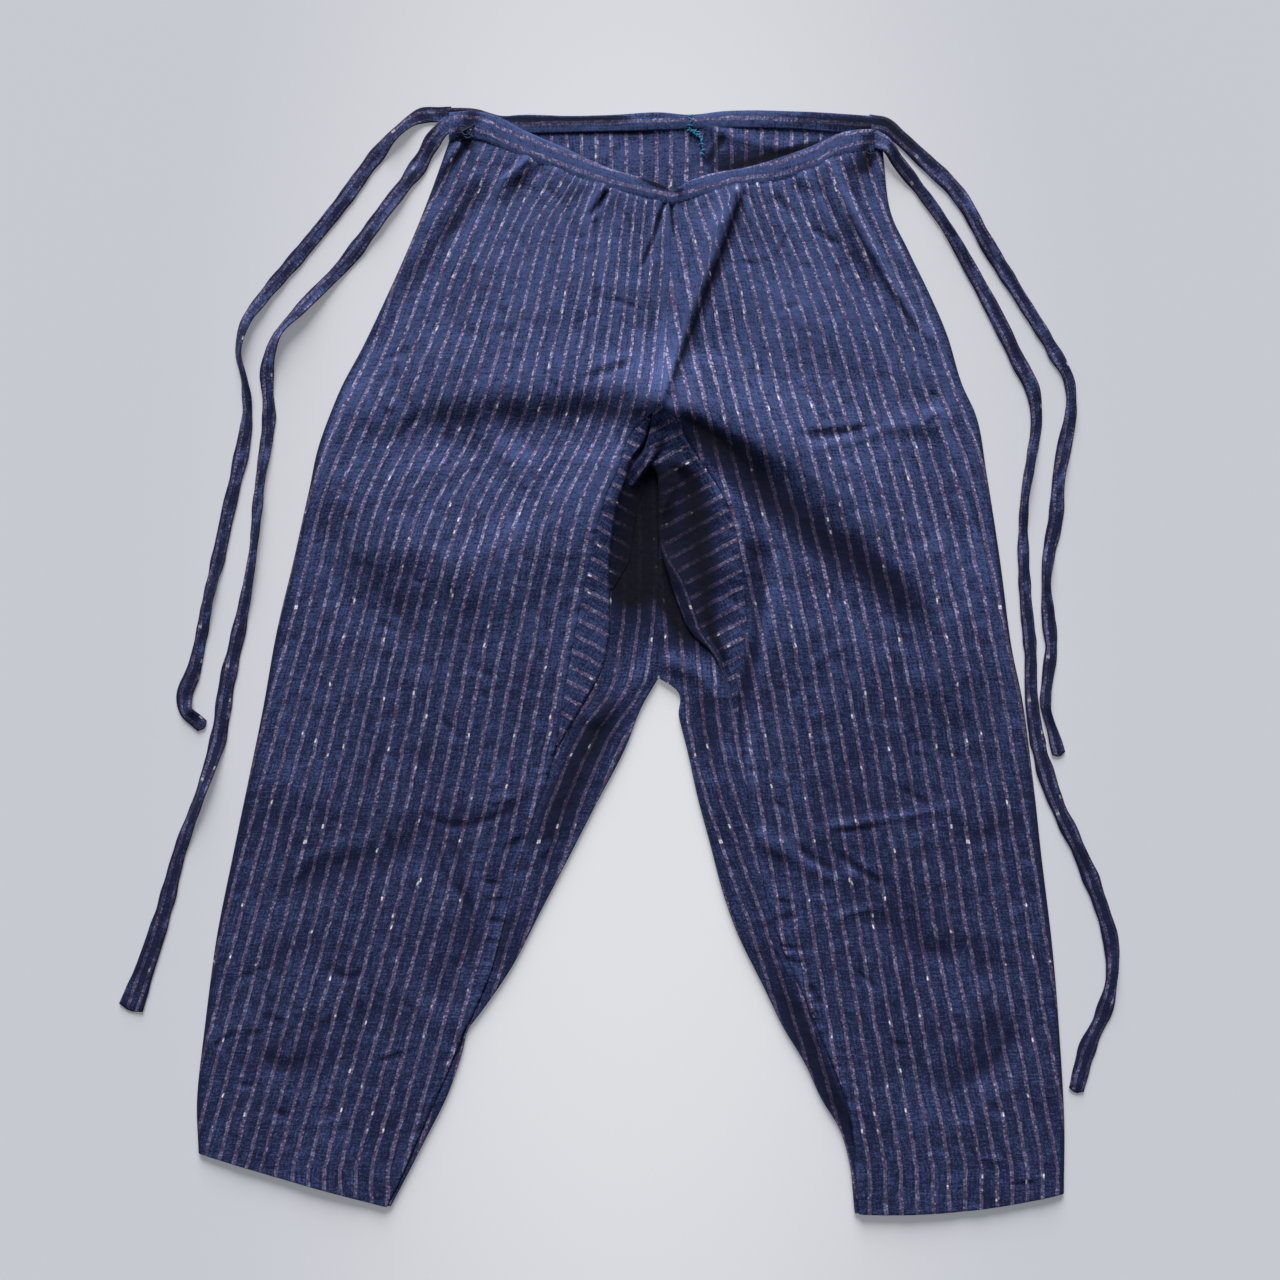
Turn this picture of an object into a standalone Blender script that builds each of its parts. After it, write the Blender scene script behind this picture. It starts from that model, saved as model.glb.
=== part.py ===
"""Monpe work trousers of striped cotton, laid flat with the front up.

X runs across the garment, +Y from the hems to the waist, and +Z up from the surface that they lie on.
The origin is on that surface, under the middle of the trousers. Left and right are as seen from above
with the waist away. Sizes are in millimetres; they turn into metres where a mesh is made.
"""

from collections import namedtuple

import bmesh
import bpy
import numpy as np

METRES = 0.001
# The middle of the trousers, in the measures that the tables below use
MIDDLE = np.array([0.5, 2.7, 0.0])

# Cloth and seams
CLOTH = 1.4
SEAM_GAP = 0.3
UNDERSIDE = 2.2
BASE_TOP = UNDERSIDE + CLOTH
PUFF = 1.6
PUFF_REACH = 45.0
FLOOR_GAP = 0.35
BACK_INSET = 2.0

# Bands and ties
BAND_THICK = 2.4
FRONT_BAND_LOW = 1.8
FRONT_BAND_OVER_BACK = 2.8
TIE_THICK = 2.0

# Grid of the panels
FRONT_COLUMNS = 20
FLAT_COLUMNS = 3
FLAP_COLUMNS = 5
RIGHT_HEM_ROUND = 6.0
LEAST_WRAP = 3.5
LEAST_GUSSET = 2.6
TIP_STEP = 2.5
RELIEF_FADE = 26.0
# Over this length the first rows bend to the waist's line and the last rows to the hem's
EDGE_BEND = 60.0
LEFT_HEM_ROUND = 1.0
# Over this length below a gusset's tip the wrap round the leg rises to the front's height
WRAP_RISE = 40.0
# How far the back rises over the front at the middle of the waist
BACK_RISE = 64.0
# Steps between rows at the waist, on the hip, along the gussets and down the legs, and the least step
WAIST_STEP = 9
HIP_STEP = 16
GUSSET_STEP = 17
LEG_STEP = 29
LEAST_STEP = 5
HIP_Y = 330
# The share of each further fold that adds to the highest one
SHARED_RISE = 0.35

# One row across a leg: where it leaves the outer edge, and the height at which it meets the inner seam
Section = namedtuple("Section", "inner_y outer_x outer_y")
LEFT_SECTIONS = [
    Section(386, -152, 440),
    Section(356, -167, 398),
    Section(318, -185, 353),
    Section(280, -206, 306),
    Section(247, -225, 266),
    Section(215, -244, 230),
    Section(188, -259, 192),
    Section(140, -270, 146),
    Section(87, -283, 87),
    Section(28, -297, 28),
    Section(-35, -309, -39),
    Section(-98, -321, -98),
    Section(-161, -334, -161),
    Section(-232, -348, -232),
    Section(-303, -358, -308),
    Section(-371, -364, -362),
    Section(-456, -363, -411),
]
RIGHT_SECTIONS = [
    Section(386, 213, 429),
    Section(356, 218, 385),
    Section(318, 234, 348),
    Section(280, 252, 311),
    Section(247, 267, 276),
    Section(215, 279, 236),
    Section(188, 291, 209),
    Section(144, 300, 160),
    Section(100, 310, 96),
    Section(33, 320, 20),
    Section(-45, 332, -43),
    Section(-86, 339, -98),
    Section(-156, 346, -161),
    Section(-233, 355, -236),
    Section(-315, 361, -308),
    Section(-375, 365, -375),
    Section(-462, 365, -445),
]

# A line that runs down the garment: x at each y
Mark = namedtuple("Mark", "y x")
CENTRE_FRONT = [Mark(386, 35), Mark(356, 34.5), Mark(318, 33), Mark(280, 31), Mark(247, 28.5), Mark(215, 25)]
LEFT_INSEAM = [
    Mark(208, 17),
    Mark(196, 4),
    Mark(179, -5),
    Mark(164, -9),
    Mark(142, -19),
    Mark(115, -27),
    Mark(87, -33),
    Mark(60, -39),
    Mark(20, -47),
    Mark(-24, -55),
    Mark(-68, -62),
    Mark(-98, -70),
    Mark(-143, -86),
    Mark(-202, -102),
    Mark(-269, -121),
    Mark(-301, -135),
    Mark(-460, -205),
]
RIGHT_INSEAM = [
    Mark(206, 36),
    Mark(186, 48),
    Mark(168, 60),
    Mark(144, 76),
    Mark(129, 83),
    Mark(93, 92),
    Mark(60, 96),
    Mark(20, 97),
    Mark(-13, 91),
    Mark(-45, 92),
    Mark(-87, 97),
    Mark(-114, 100),
    Mark(-186, 112),
    Mark(-233, 126),
    Mark(-277, 145),
    Mark(-315, 161),
    Mark(-365, 181),
    Mark(-466, 192),
]
LEFT_FOLD = [
    Mark(-12, 24),
    Mark(-34, 11),
    Mark(-71, -4),
    Mark(-119, -29),
    Mark(-159, -49.5),
    Mark(-206, -74),
    Mark(-261, -103),
    Mark(-294, -126),
    Mark(-306, -135),
    Mark(-327, -141),
    Mark(-364, -154),
    Mark(-398, -171),
    Mark(-437, -191),
    Mark(-456, -201),
]
RIGHT_FOLD = [
    Mark(-12, 24),
    Mark(-20, 37),
    Mark(-44, 41),
    Mark(-72, 48),
    Mark(-113, 57),
    Mark(-150, 67),
    Mark(-192, 78),
    Mark(-221, 88),
    Mark(-275, 114),
    Mark(-305, 128.5),
    Mark(-336, 147),
    Mark(-366, 161),
    Mark(-393, 177),
    Mark(-413, 183),
    Mark(-462, 189),
]
CENTRE_BACK = [Mark(452, 60), Mark(420, 60), Mark(222, 48), Mark(-12, 24)]
APEX_Y = -12

# The rolled edge of the left gusset, over the crotch hollow
LEFT_LIP = [
    Mark(204, 17),
    Mark(196, 15),
    Mark(179, 11.5),
    Mark(156, -2),
    Mark(138, -9),
    Mark(112, -14),
    Mark(87, -17),
    Mark(20, -18),
    Mark(-7, -24),
    Mark(-30, -37),
    Mark(-68, -59),
]
RIGHT_LIP = [
    Mark(210, 29),
    Mark(198, 38),
    Mark(159, 59),
    Mark(128, 68),
    Mark(96, 73),
    Mark(76, 76),
    Mark(47, 74),
    Mark(23, 76),
    Mark(3, 81),
    Mark(-30, 87),
    Mark(-45, 89),
]
LEFT_GUSSET_TOP = 202
LEFT_TIP_Y = -68
RIGHT_GUSSET_TOP = 208
RIGHT_TIP_Y = -45
LEFT_FLAP_TOP = 172
RIGHT_FLAP_TOP = 88

# The right gusset's inner part, which hangs into the hollow and ends in a fold like a tongue
Tongue = namedtuple("Tongue", "y edge_x crest_z hollow_z foot_z")
TONGUE = [
    Tongue(208, 19, 11.5, 11.5, 8.0),
    Tongue(196, 16, 11.5, 11.0, 8.0),
    Tongue(179, 13, 11.0, 10.0, 7.5),
    Tongue(170, 15, 10.5, 9.0, 6.5),
    Tongue(160, 22, 10.0, 7.0, 5.0),
    Tongue(148, 24, 9.5, 6.0, 2.5),
    Tongue(129, 24.5, 9.5, 5.5, 1.75),
    Tongue(96, 26, 9.0, 5.0, 1.75),
    Tongue(75, 32, 8.5, 5.0, 1.75),
    Tongue(47, 41, 8.0, 5.0, 1.75),
    Tongue(25, 52, 7.0, 5.0, 1.75),
    Tongue(12, 66, 6.0, 5.0, 1.75),
    Tongue(-4, 76, 5.0, 4.6, 1.75),
    Tongue(-30, 84, 4.3, 4.2, 1.75),
    Tongue(-45, 88, 3.8, 3.8, 1.75),
]

# Edges that run across the garment: y at each x
Edge = namedtuple("Edge", "x y")
Strip = namedtuple("Strip", "x low_y high_y")
LEFT_WAIST = [
    Edge(-152, 440),
    Edge(-132, 441),
    Edge(-96, 427),
    Edge(-54, 411),
    Edge(-19, 399),
    Edge(25, 388),
    Edge(35, 386),
]
RIGHT_WAIST = [
    Edge(35, 386),
    Edge(48, 389),
    Edge(88, 399),
    Edge(129, 405),
    Edge(155, 415),
    Edge(181, 427),
    Edge(206, 430),
    Edge(213, 429),
]
FRONT_BAND_TOP = [
    Edge(-152, 463),
    Edge(-132, 464),
    Edge(-115, 461),
    Edge(-89, 448),
    Edge(-54, 433),
    Edge(-19, 417),
    Edge(14, 407),
    Edge(28, 402),
    Edge(36, 397),
    Edge(45, 403),
    Edge(59, 409),
    Edge(102, 418),
    Edge(155, 436),
    Edge(181, 447),
    Edge(206, 449),
]
BACK_BAND = [
    Strip(-154, 450, 468),
    Strip(-130, 449, 467),
    Strip(-107, 447, 461),
    Strip(-92, 447, 462),
    Strip(-54, 448, 461),
    Strip(-13, 449, 462),
    Strip(25, 450, 464),
    Strip(50, 451, 462),
    Strip(78, 452, 465),
    Strip(134, 451, 465),
    Strip(176, 448, 463),
    Strip(204, 446, 461),
]
BACK_TOP = [Edge(-148, 446), Edge(-107, 446), Edge(25, 449), Edge(76, 451.5), Edge(148, 449), Edge(209, 444)]

# Raised folds of the upper layer. A fold is steep on the right of its path and gentle on the left.
Fold = namedtuple("Fold", "path rise_start rise_end steep gentle")
FOLDS = [
    Fold([(-155, 229), (-76, 226), (-20, 229), (14, 221), (27, 216)], 2.5, 7.5, 20, 62),
    Fold([(30, 216), (81, 203), (107, 187), (143, 168), (195, 118), (245, 60)], 9.0, 1.0, 26, 60),
    Fold([(25, 217), (2, 197), (-13, 160), (-29, 95), (-45, 25), (-59, -55)], 6.5, 0.6, 58, 40),
    Fold([(94, -40), (98, 45), (92, 100), (78, 147), (52, 186), (29, 215)], 0.6, 7.0, 32, 40),
    Fold([(-86, 421), (-98, 410), (-116, 396)], 3.0, 1.0, 8, 14),
    Fold([(-19, 399), (-36, 380), (-37, 362), (-24, 340)], 4.0, 0.8, 9, 16),
    Fold([(26, 388), (19, 350), (10, 312)], 3.5, 0.6, 9, 16),
    Fold([(32, 233), (48, 284), (64, 332), (78, 379), (88, 399)], 1.0, 6.0, 12, 34),
    Fold([(105, 366), (88, 399)], 0.8, 3.0, 8, 14),
    Fold([(180, 352), (149, 410)], 0.8, 3.2, 9, 16),
    Fold([(252, 274), (227, 308), (207, 343), (186, 379), (168, 419)], 0.8, 4.8, 10, 20),
    Fold([(-118, 196), (-56, 130)], 3.0, 1.0, 18, 26),
    Fold([(305, 45), (297, 91), (279, 155), (258, 208)], 0.8, 3.4, 12, 18),
    Fold([(130, 196), (199, 199), (262, 204)], 0.8, 2.8, 12, 24),
    Fold([(112, -146), (148, -166), (176, -180)], 2.6, 0.8, 12, 18),
    Fold([(118, -205), (140, -262), (168, -330), (184, -392)], 0.6, 2.6, 14, 40),
    Fold([(-215, 92), (-168, 34)], 1.0, 1.8, 16, 22),
]

# Raised places at the foot of the crotch hollow
FLOOR_FOLDS = [
    Fold([(-28, -44), (-2, -22), (14, 2)], 2.4, 1.0, 14, 16),
    Fold([(36, 2), (56, -6), (72, -24)], 3.0, 1.6, 12, 18),
]

# Flat tapes: the point of the route, the tape's width there, how far it rolls on its side, its lift
Tape = namedtuple("Tape", "x y width roll lift")
TIE_FRONT_LEFT = [
    Tape(-152.5, 454, 15, 0, 2.9),
    Tape(-160, 447, 15, 0, 2.4),
    Tape(-178, 419, 14, 0, 0),
    Tape(-208, 379, 13, 12, 0),
    Tape(-239, 338, 13, 0, 0),
    Tape(-279, 296, 12, 30, 0),
    Tape(-297, 275, 11, 45, 0),
    Tape(-304, 255, 12, 20, 0),
    Tape(-304, 205, 11, 0, 0),
    Tape(-311, 154, 10, 15, 0),
    Tape(-318, 87, 9, 25, 0),
    Tape(-329, 29, 11, 0, 0),
    Tape(-339, -15, 13, 0, 0),
    Tape(-347, -65, 14, 0, 0),
    Tape(-359, -104, 11, 30, 0),
    Tape(-379, -158, 11, 0, 0),
    Tape(-391, -203, 13, 0, 0),
    Tape(-406, -250, 16, 0, 0),
    Tape(-421, -292, 20, 0, 0),
]
TIE_BACK_LEFT = [
    Tape(-154.5, 462, 13, 0, 0),
    Tape(-176, 461, 12, 0, 0),
    Tape(-195, 448, 10, 25, 0),
    Tape(-213, 428, 12, 0, 0),
    Tape(-244, 386, 13, 0, 0),
    Tape(-280, 342, 12, 0, 0),
    Tape(-307, 310, 12, 10, 0),
    Tape(-324, 285, 11, 30, 0),
    Tape(-329, 262, 9, 50, 0),
    Tape(-324, 238, 8, 40, 0),
    Tape(-322, 214, 9, 0, 0),
    Tape(-325, 187, 11, 0, 0),
    Tape(-331, 159, 12, 0, 0),
    Tape(-338, 129, 12, 0, 0),
    Tape(-347, 87, 11, 0, 0),
    Tape(-355, 54, 10, 15, 0),
    Tape(-361, 22, 11, 0, 0),
    Tape(-368, -8, 12, 0, 0),
    Tape(-375, -28, 14, 0, 0),
    Tape(-373, -40, 13, 20, 0),
    Tape(-365, -48, 12, 0, 0),
    Tape(-358, -54, 12, 0, 0),
]
TIE_FRONT_RIGHT = [
    Tape(206.8, 440.5, 14, 0, 2.9),
    Tape(214, 436, 13, 0, 5.0),
    Tape(225, 422, 12, 0, 2.8),
    Tape(240, 404, 11, 0, 0),
    Tape(265, 369, 10, 20, 0),
    Tape(288, 330, 11, 0, 0),
    Tape(308, 293, 13, 0, 0),
    Tape(326, 256, 12, 0, 0),
    Tape(339, 228, 12, 25, 0),
    Tape(342, 208, 11, 0, 0),
    Tape(337, 170, 9, 20, 0),
    Tape(332, 140, 8, 35, 0),
    Tape(331, 115, 8, 0, 0),
    Tape(333, 54, 11, 0, 0),
    Tape(337, 10, 11, 0, 0),
    Tape(338, -30, 11, 0, 0),
    Tape(345, -74, 13, 0, 0),
    Tape(358, -115, 14, 0, 0),
    Tape(377, -156, 13, 15, 0),
    Tape(394, -197, 13, 0, 0),
    Tape(405, -236, 12, 0, 0),
    Tape(405, -264, 11, 20, 0),
    Tape(398, -295, 13, 0, 0),
    Tape(387, -318, 14, 0, 0),
    Tape(375, -361, 14, 0, 0),
]
TIE_BACK_RIGHT = [
    Tape(204.5, 455, 13, 0, 0),
    Tape(214, 453, 13, 0, 0),
    Tape(227, 443, 13, 0, 0),
    Tape(242, 429, 14, 0, 0),
    Tape(277, 394, 13, 0, 0),
    Tape(301, 352, 12, 10, 0),
    Tape(330, 306, 11, 0, 0),
    Tape(357, 262, 11, 0, 0),
    Tape(369, 238, 9, 30, 0),
    Tape(371, 215, 9, 20, 0),
    Tape(366, 185, 11, 0, 0),
    Tape(361, 159, 11, 15, 0),
    Tape(358, 120, 13, 0, 0),
    Tape(353, 95, 12, 0, 0),
    Tape(350, 72, 8, 35, 0),
    Tape(352, 40, 11, 0, 0),
    Tape(354.5, 14, 11, 0, 0),
    Tape(351.5, -12, 10, 0, 0),
    Tape(349.5, -36, 9, 20, 0),
    Tape(356, -58, 10, 0, 0),
    Tape(361.5, -78, 11, 0, 0),
]
TIE_SPACING = 17.0


def smooth(knots, values):
    """A curve through the values at the knots, its slope at each taken from the neighbours."""
    order = np.argsort(knots)
    knots = np.asarray(knots, float)[order]
    values = np.asarray(values, float)[order]
    slopes = np.gradient(values, knots)

    def at(where):
        where = np.clip(where, knots[0], knots[-1])
        i = np.clip(np.searchsorted(knots, where, side="right") - 1, 0, len(knots) - 2)
        step = knots[i + 1] - knots[i]
        t = (where - knots[i]) / step
        rise = values[i + 1] - values[i]
        bend = t * (1 - t) * ((1 - t) * (slopes[i] * step - rise) - t * (slopes[i + 1] * step - rise))
        return values[i] + t * rise + bend

    return at


def line_of(marks):
    """x as a curve of y, through the marks."""
    return smooth([mark.y for mark in marks], [mark.x for mark in marks])


def edge_of(edges):
    """y as a curve of x, through the points of an edge that runs across."""
    return smooth([edge.x for edge in edges], [edge.y for edge in edges])


def ease(t):
    t = np.clip(t, 0, 1)
    return t * t * (3 - 2 * t)


def fold_height(fold, x, y):
    """How far one fold lifts the cloth at each point."""
    best = np.full(np.shape(x), np.inf)
    side = np.zeros(np.shape(x))
    along = np.zeros(np.shape(x))
    path = np.asarray(fold.path, float)
    lengths = np.hypot(*np.diff(path, axis=0).T)
    before = np.concatenate([[0], np.cumsum(lengths)])
    for start, end, length, walked in zip(path, path[1:], lengths, before):
        ux, uy = (end - start) / length
        t = np.clip((x - start[0]) * ux + (y - start[1]) * uy, 0, length)
        dx = x - start[0] - t * ux
        dy = y - start[1] - t * uy
        away = np.hypot(dx, dy)
        nearer = away < best
        best = np.where(nearer, away, best)
        side = np.where(nearer, dx * uy - dy * ux, side)
        along = np.where(nearer, (walked + t) / before[-1], along)
    reach = np.where(side > 0, fold.steep, fold.gentle)
    rise = fold.rise_start + (fold.rise_end - fold.rise_start) * along
    return rise * ease(1 - best / reach)


def relief(x, y, folds):
    """The folds together: the highest one counts in full, and the others add a part of their own."""
    x, y = np.broadcast_arrays(np.asarray(x, float), np.asarray(y, float))
    heights = np.array([fold_height(fold, x, y) for fold in folds])
    highest = heights.max(axis=0)
    return highest + SHARED_RISE * (heights.sum(axis=0) - highest)


class Leg:
    """The curves of one side. side is -1 on the left and +1 on the right."""

    def __init__(self, side, sections, inseam, fold, lip, waist):
        self.side = side
        inner = [row.inner_y for row in sections]
        self.outer_x = smooth(inner, [row.outer_x for row in sections])
        self.outer_y = smooth(inner, [row.outer_y for row in sections])
        self.inseam = line_of(CENTRE_FRONT[-1:] + inseam)
        self.fold_x = line_of(fold)
        self.lip_line = line_of(lip)
        self.waist_y = edge_of(waist)
        self.hem_y = inner[-1]
        self.waist_in_y = inner[0]

    def seam_x(self, y):
        """The front's inner seam: centre front, then the inseam, which keeps inside the inner fold."""
        seam = np.where(np.asarray(y) > CROTCH_Y, CENTRE_FRONT_X(y), self.inseam(y))
        limit = self.fold_x(y) + self.side * LEAST_WRAP
        inside = np.maximum(seam, limit) if self.side > 0 else np.minimum(seam, limit)
        return np.where(np.asarray(y) < APEX_Y, inside, seam)

    def lip_x(self, y):
        """The gusset's rolled edge, never nearer to the seam than the least width."""
        lip = self.lip_line(y)
        limit = self.seam_x(y) - self.side * LEAST_GUSSET
        return np.minimum(lip, limit) if self.side > 0 else np.maximum(lip, limit)


CROTCH_Y = CENTRE_FRONT[-1].y
CENTRE_FRONT_X = line_of(CENTRE_FRONT)
LEFT = Leg(-1, LEFT_SECTIONS, LEFT_INSEAM, LEFT_FOLD, LEFT_LIP, LEFT_WAIST)
RIGHT = Leg(1, RIGHT_SECTIONS, RIGHT_INSEAM, RIGHT_FOLD, RIGHT_LIP, RIGHT_WAIST)
CENTRE_BACK_X = line_of(CENTRE_BACK)
BACK_TOP_Y = edge_of(BACK_TOP)
TONGUE_X = smooth([row.y for row in TONGUE], [row.edge_x for row in TONGUE])


def rows_of(leg, tip_y, extra):
    """The heights of a leg's rows at the inner seam, close at the waist and wider apart down the leg."""
    zones = (
        (leg.waist_in_y, HIP_Y, WAIST_STEP),
        (HIP_Y, CROTCH_Y, HIP_STEP),
        (CROTCH_Y, tip_y, GUSSET_STEP),
        (tip_y - TIP_STEP, leg.hem_y, LEG_STEP),
    )
    heights = []
    for high, low, step in zones:
        heights.extend(np.linspace(high, low, 1 + round((high - low) / step)))
    wanted = sorted(set(np.round(heights, 3)) | set(extra), reverse=True)
    kept = [wanted[0]]
    for height in wanted[1:]:
        crowded = kept[-1] - height < LEAST_STEP and height not in extra and height != wanted[-1]
        if not crowded or abs(height - tip_y) < TIP_STEP + 1:
            kept.append(height)
    return np.array(kept)


LEFT_ROWS = rows_of(LEFT, LEFT_TIP_Y, (LEFT_GUSSET_TOP, LEFT_FLAP_TOP, APEX_Y, LEFT_TIP_Y))
RIGHT_ROWS = rows_of(RIGHT, RIGHT_TIP_Y, (RIGHT_GUSSET_TOP, RIGHT_FLAP_TOP, APEX_Y, RIGHT_TIP_Y))


def upper_z(leg, x, y, from_outline):
    """Top of the upper layer. Puff and folds die out towards the outline."""
    fade = ease(from_outline / RELIEF_FADE)
    return BASE_TOP + fade * relief(x, y, FOLDS) + PUFF * ease(from_outline / PUFF_REACH)


def faces_of_grid(rows, columns):
    """Quads of a grid whose points are numbered row by row."""
    quads = []
    for row in range(rows - 1):
        for column in range(columns - 1):
            corner = row * columns + column
            quads.append((corner, corner + 1, corner + columns + 1, corner + columns))
    return quads


def wall(name, outer, inner, quads, colour):
    """A closed wall between two layers of points that share their faces."""
    count = len(outer)
    edges = {}
    for quad in quads:
        for a, b in zip(quad, quad[1:] + quad[:1]):
            edges[(a, b)] = True
    rims = [(a, b) for a, b in edges if (b, a) not in edges]
    sheet = bmesh.new()
    points = [sheet.verts.new((point - MIDDLE) * METRES) for point in np.concatenate([outer, inner])]
    for quad in quads:
        sheet.faces.new([points[i] for i in quad])
        sheet.faces.new([points[i + count] for i in reversed(quad)])
    for a, b in rims:
        sheet.faces.new([points[b], points[a], points[a + count], points[b + count]])
    bmesh.ops.triangulate(sheet, faces=[face for face in sheet.faces if len(face.verts) > 3])
    bmesh.ops.recalc_face_normals(sheet, faces=sheet.faces)
    mesh = bpy.data.meshes.new(name)
    sheet.to_mesh(mesh)
    sheet.free()
    mesh.shade_smooth()
    mesh.set_sharp_from_angle(angle=np.radians(40))
    cloth = bpy.data.materials.new(name)
    cloth.use_nodes = True
    shader = cloth.node_tree.nodes["Principled BSDF"]
    shader.inputs["Base Color"].default_value = (*colour, 1)
    shader.inputs["Roughness"].default_value = 0.85
    shader.inputs["Metallic"].default_value = 0.0
    mesh.materials.append(cloth)
    piece = bpy.data.objects.new(name, mesh)
    bpy.context.scene.collection.objects.link(piece)
    return piece


# The rolled outer edge of a front panel: distance in from the outline and height, on each face of the wall
Roll = namedtuple("Roll", "out_in out_z in_in in_z")
OUTER_ROLL = [
    Roll(0, 0, 1.4, 0),
    Roll(0, 1.9, 1.45, 1.2),
    Roll(0.5, 3.1, 1.7, 1.9),
    Roll(1.7, BASE_TOP, 2.4, UNDERSIDE),
]
# The round fold at the inner leg, from the underside up to the top
INNER_ROLL = [
    Roll(1.4, 0, 2.1, CLOTH),
    Roll(0.35, 0.5, 1.6, 1.55),
    Roll(0, 1.8, 1.4, 1.8),
    Roll(0.35, 3.1, 1.6, 2.05),
    Roll(1.4, BASE_TOP, 2.1, UNDERSIDE),
]


def front_panel(name, leg, rows, colour):
    """A front: its outer edge rolls down to the surface, and its inner edge is the seam."""
    outer = []
    inner = []
    for row_y in rows:
        start = np.array([leg.outer_x(row_y), leg.outer_y(row_y)])
        end = np.array([leg.seam_x(row_y) + leg.side * SEAM_GAP / 2, row_y])
        width = np.hypot(*(end - start))
        way = (end - start) / width
        begin = OUTER_ROLL[-1].in_in + 1
        spans = np.linspace(begin, width, FRONT_COLUMNS + 1)
        plan = start + spans[:, None] * way
        plan[:, 1] += edge_shift(leg, plan[:, 0], row_y, start, end)
        tops = upper_z(leg, plan[:, 0], plan[:, 1], spans)
        start = start + [0, edge_shift(leg, start[0], row_y, start, end)]
        for roll in OUTER_ROLL:
            outer.append((*(start + roll.out_in * way), roll.out_z))
            inner.append((*(start + roll.in_in * way), roll.in_z))
        for point, top in zip(plan, tops):
            outer.append((*point, top))
            inner.append((*point, top - CLOTH))
    columns = len(OUTER_ROLL) + FRONT_COLUMNS + 1
    return wall(name, np.array(outer), np.array(inner), faces_of_grid(len(rows), columns), colour)


def edge_shift(leg, x, row_y, start, end):
    """Bends the top rows to the line of the waist and the last rows to the round of the hem."""
    share = np.clip((x - start[0]) / (end[0] - start[0]), 0, 1)
    top = leg.waist_in_y
    top_x = leg.outer_x(top) + share * (leg.seam_x(top) - leg.outer_x(top))
    straight = leg.outer_y(top) + share * (top - leg.outer_y(top))
    at_waist = ease(1 - (leg.waist_in_y - row_y) / EDGE_BEND)
    at_hem = ease(1 - (row_y - leg.hem_y) / EDGE_BEND)
    bow = RIGHT_HEM_ROUND if leg.side > 0 else LEFT_HEM_ROUND
    return at_waist * (leg.waist_y(top_x) - straight) - at_hem * bow * 4 * share * (1 - share)


def back_panel(name, leg, rows, flap_top, flap_in, flap_out, colour):
    """A back: flat on the surface, rolled round the inner leg, and on over it as far as the seam."""
    top_y = float(BACK_TOP_Y(CENTRE_BACK_X(leg.waist_in_y + BACK_RISE)))
    corner_x = BACK_TOP[0].x if leg.side < 0 else BACK_TOP[-1].x
    back_rows = np.concatenate([[top_y], rows[1:]])
    outer = []
    inner = []
    number = {}

    def add(key, out, into):
        number[key] = len(outer)
        outer.append(out)
        inner.append(into)

    roll_in = np.array([roll.in_in for roll in INNER_ROLL])
    for r, row_y in enumerate(back_rows):
        wrapped = row_y <= APEX_Y
        start = np.array([leg.outer_x(row_y) - leg.side * BACK_INSET, leg.outer_y(row_y)])
        if r == 0:
            start = np.array([corner_x, BACK_TOP_Y(corner_x)])
        inner_x = leg.fold_x(row_y) if wrapped else CENTRE_BACK_X(row_y)
        near = inner_x + leg.side * (roll_in[0] if wrapped else SEAM_GAP / 2)
        end = np.array([near, row_y])
        for c, share in enumerate(np.linspace(0, 1, FLAT_COLUMNS + 1)):
            point = start + share * (end - start)
            if r == 0:
                point[1] = BACK_TOP_Y(point[0])
            elif wrapped:
                point[1] += edge_shift(leg, point[0], row_y, start, end) if row_y < APEX_Y else 0
            add(("flat", r, c), (*point, 0), (*point, CLOTH))
        if wrapped:
            for c, roll in enumerate(INNER_ROLL[1:-1]):
                out = (leg.fold_x(row_y) + leg.side * (roll.out_in + SEAM_GAP / 2), row_y, roll.out_z)
                into = (leg.fold_x(row_y) + leg.side * (roll.in_in + SEAM_GAP / 2), row_y, roll.in_z)
                add(("roll", r, c), out, into)
        if row_y <= flap_top:
            first = leg.fold_x(row_y) + leg.side * roll_in[-1] if wrapped else flap_in(row_y)
            for c, x in enumerate(np.linspace(first, flap_out(row_y), FLAP_COLUMNS + 1)):
                top = flap_z(leg, x, row_y, wrapped and c == 0)
                add(("flap", r, c), (x, row_y, top), (x, row_y, top - CLOTH))
    quads = []
    for r in range(len(back_rows) - 1):
        quads += strips(number, r, [("flat", c) for c in range(FLAT_COLUMNS + 1)])
        if back_rows[r] <= APEX_Y:
            strip = [("flat", FLAT_COLUMNS), ("roll", 0), ("roll", 1), ("roll", 2), ("flap", 0)]
            quads += strips(number, r, strip)
        if back_rows[r] <= flap_top:
            quads += strips(number, r, [("flap", c) for c in range(FLAP_COLUMNS + 1)])
    return wall(name, np.array(outer), np.array(inner), quads, colour)


def strips(number, r, columns):
    """The quads between row r and the next one down, through the named columns."""
    quads = []
    for (kind_a, a), (kind_b, b) in zip(columns, columns[1:]):
        here = (number[kind_a, r, a], number[kind_b, r, b])
        below = (number[kind_b, r + 1, b], number[kind_a, r + 1, a])
        quads.append(here + below)
    return quads


def flap_z(leg, x, y, at_roll):
    """Top of the cloth at the foot of the hollow and of the wrap round the inner leg."""
    if at_roll:
        return BASE_TOP
    gap = abs(x - leg.fold_x(y)) if y <= APEX_Y else RELIEF_FADE
    floor = relief(x, y, FLOOR_FOLDS) * ease(gap / 10)
    return float(BASE_TOP + floor + wrap_share(leg, y) * (upper_z(leg, x, y, gap) - BASE_TOP))


def wrap_share(leg, y):
    """1 where the wrap meets the front at the inseam, 0 above the gusset's tip."""
    tip = LEFT_TIP_Y if leg.side < 0 else RIGHT_TIP_Y
    return ease((tip - TIP_STEP - y) / WRAP_RISE)


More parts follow.
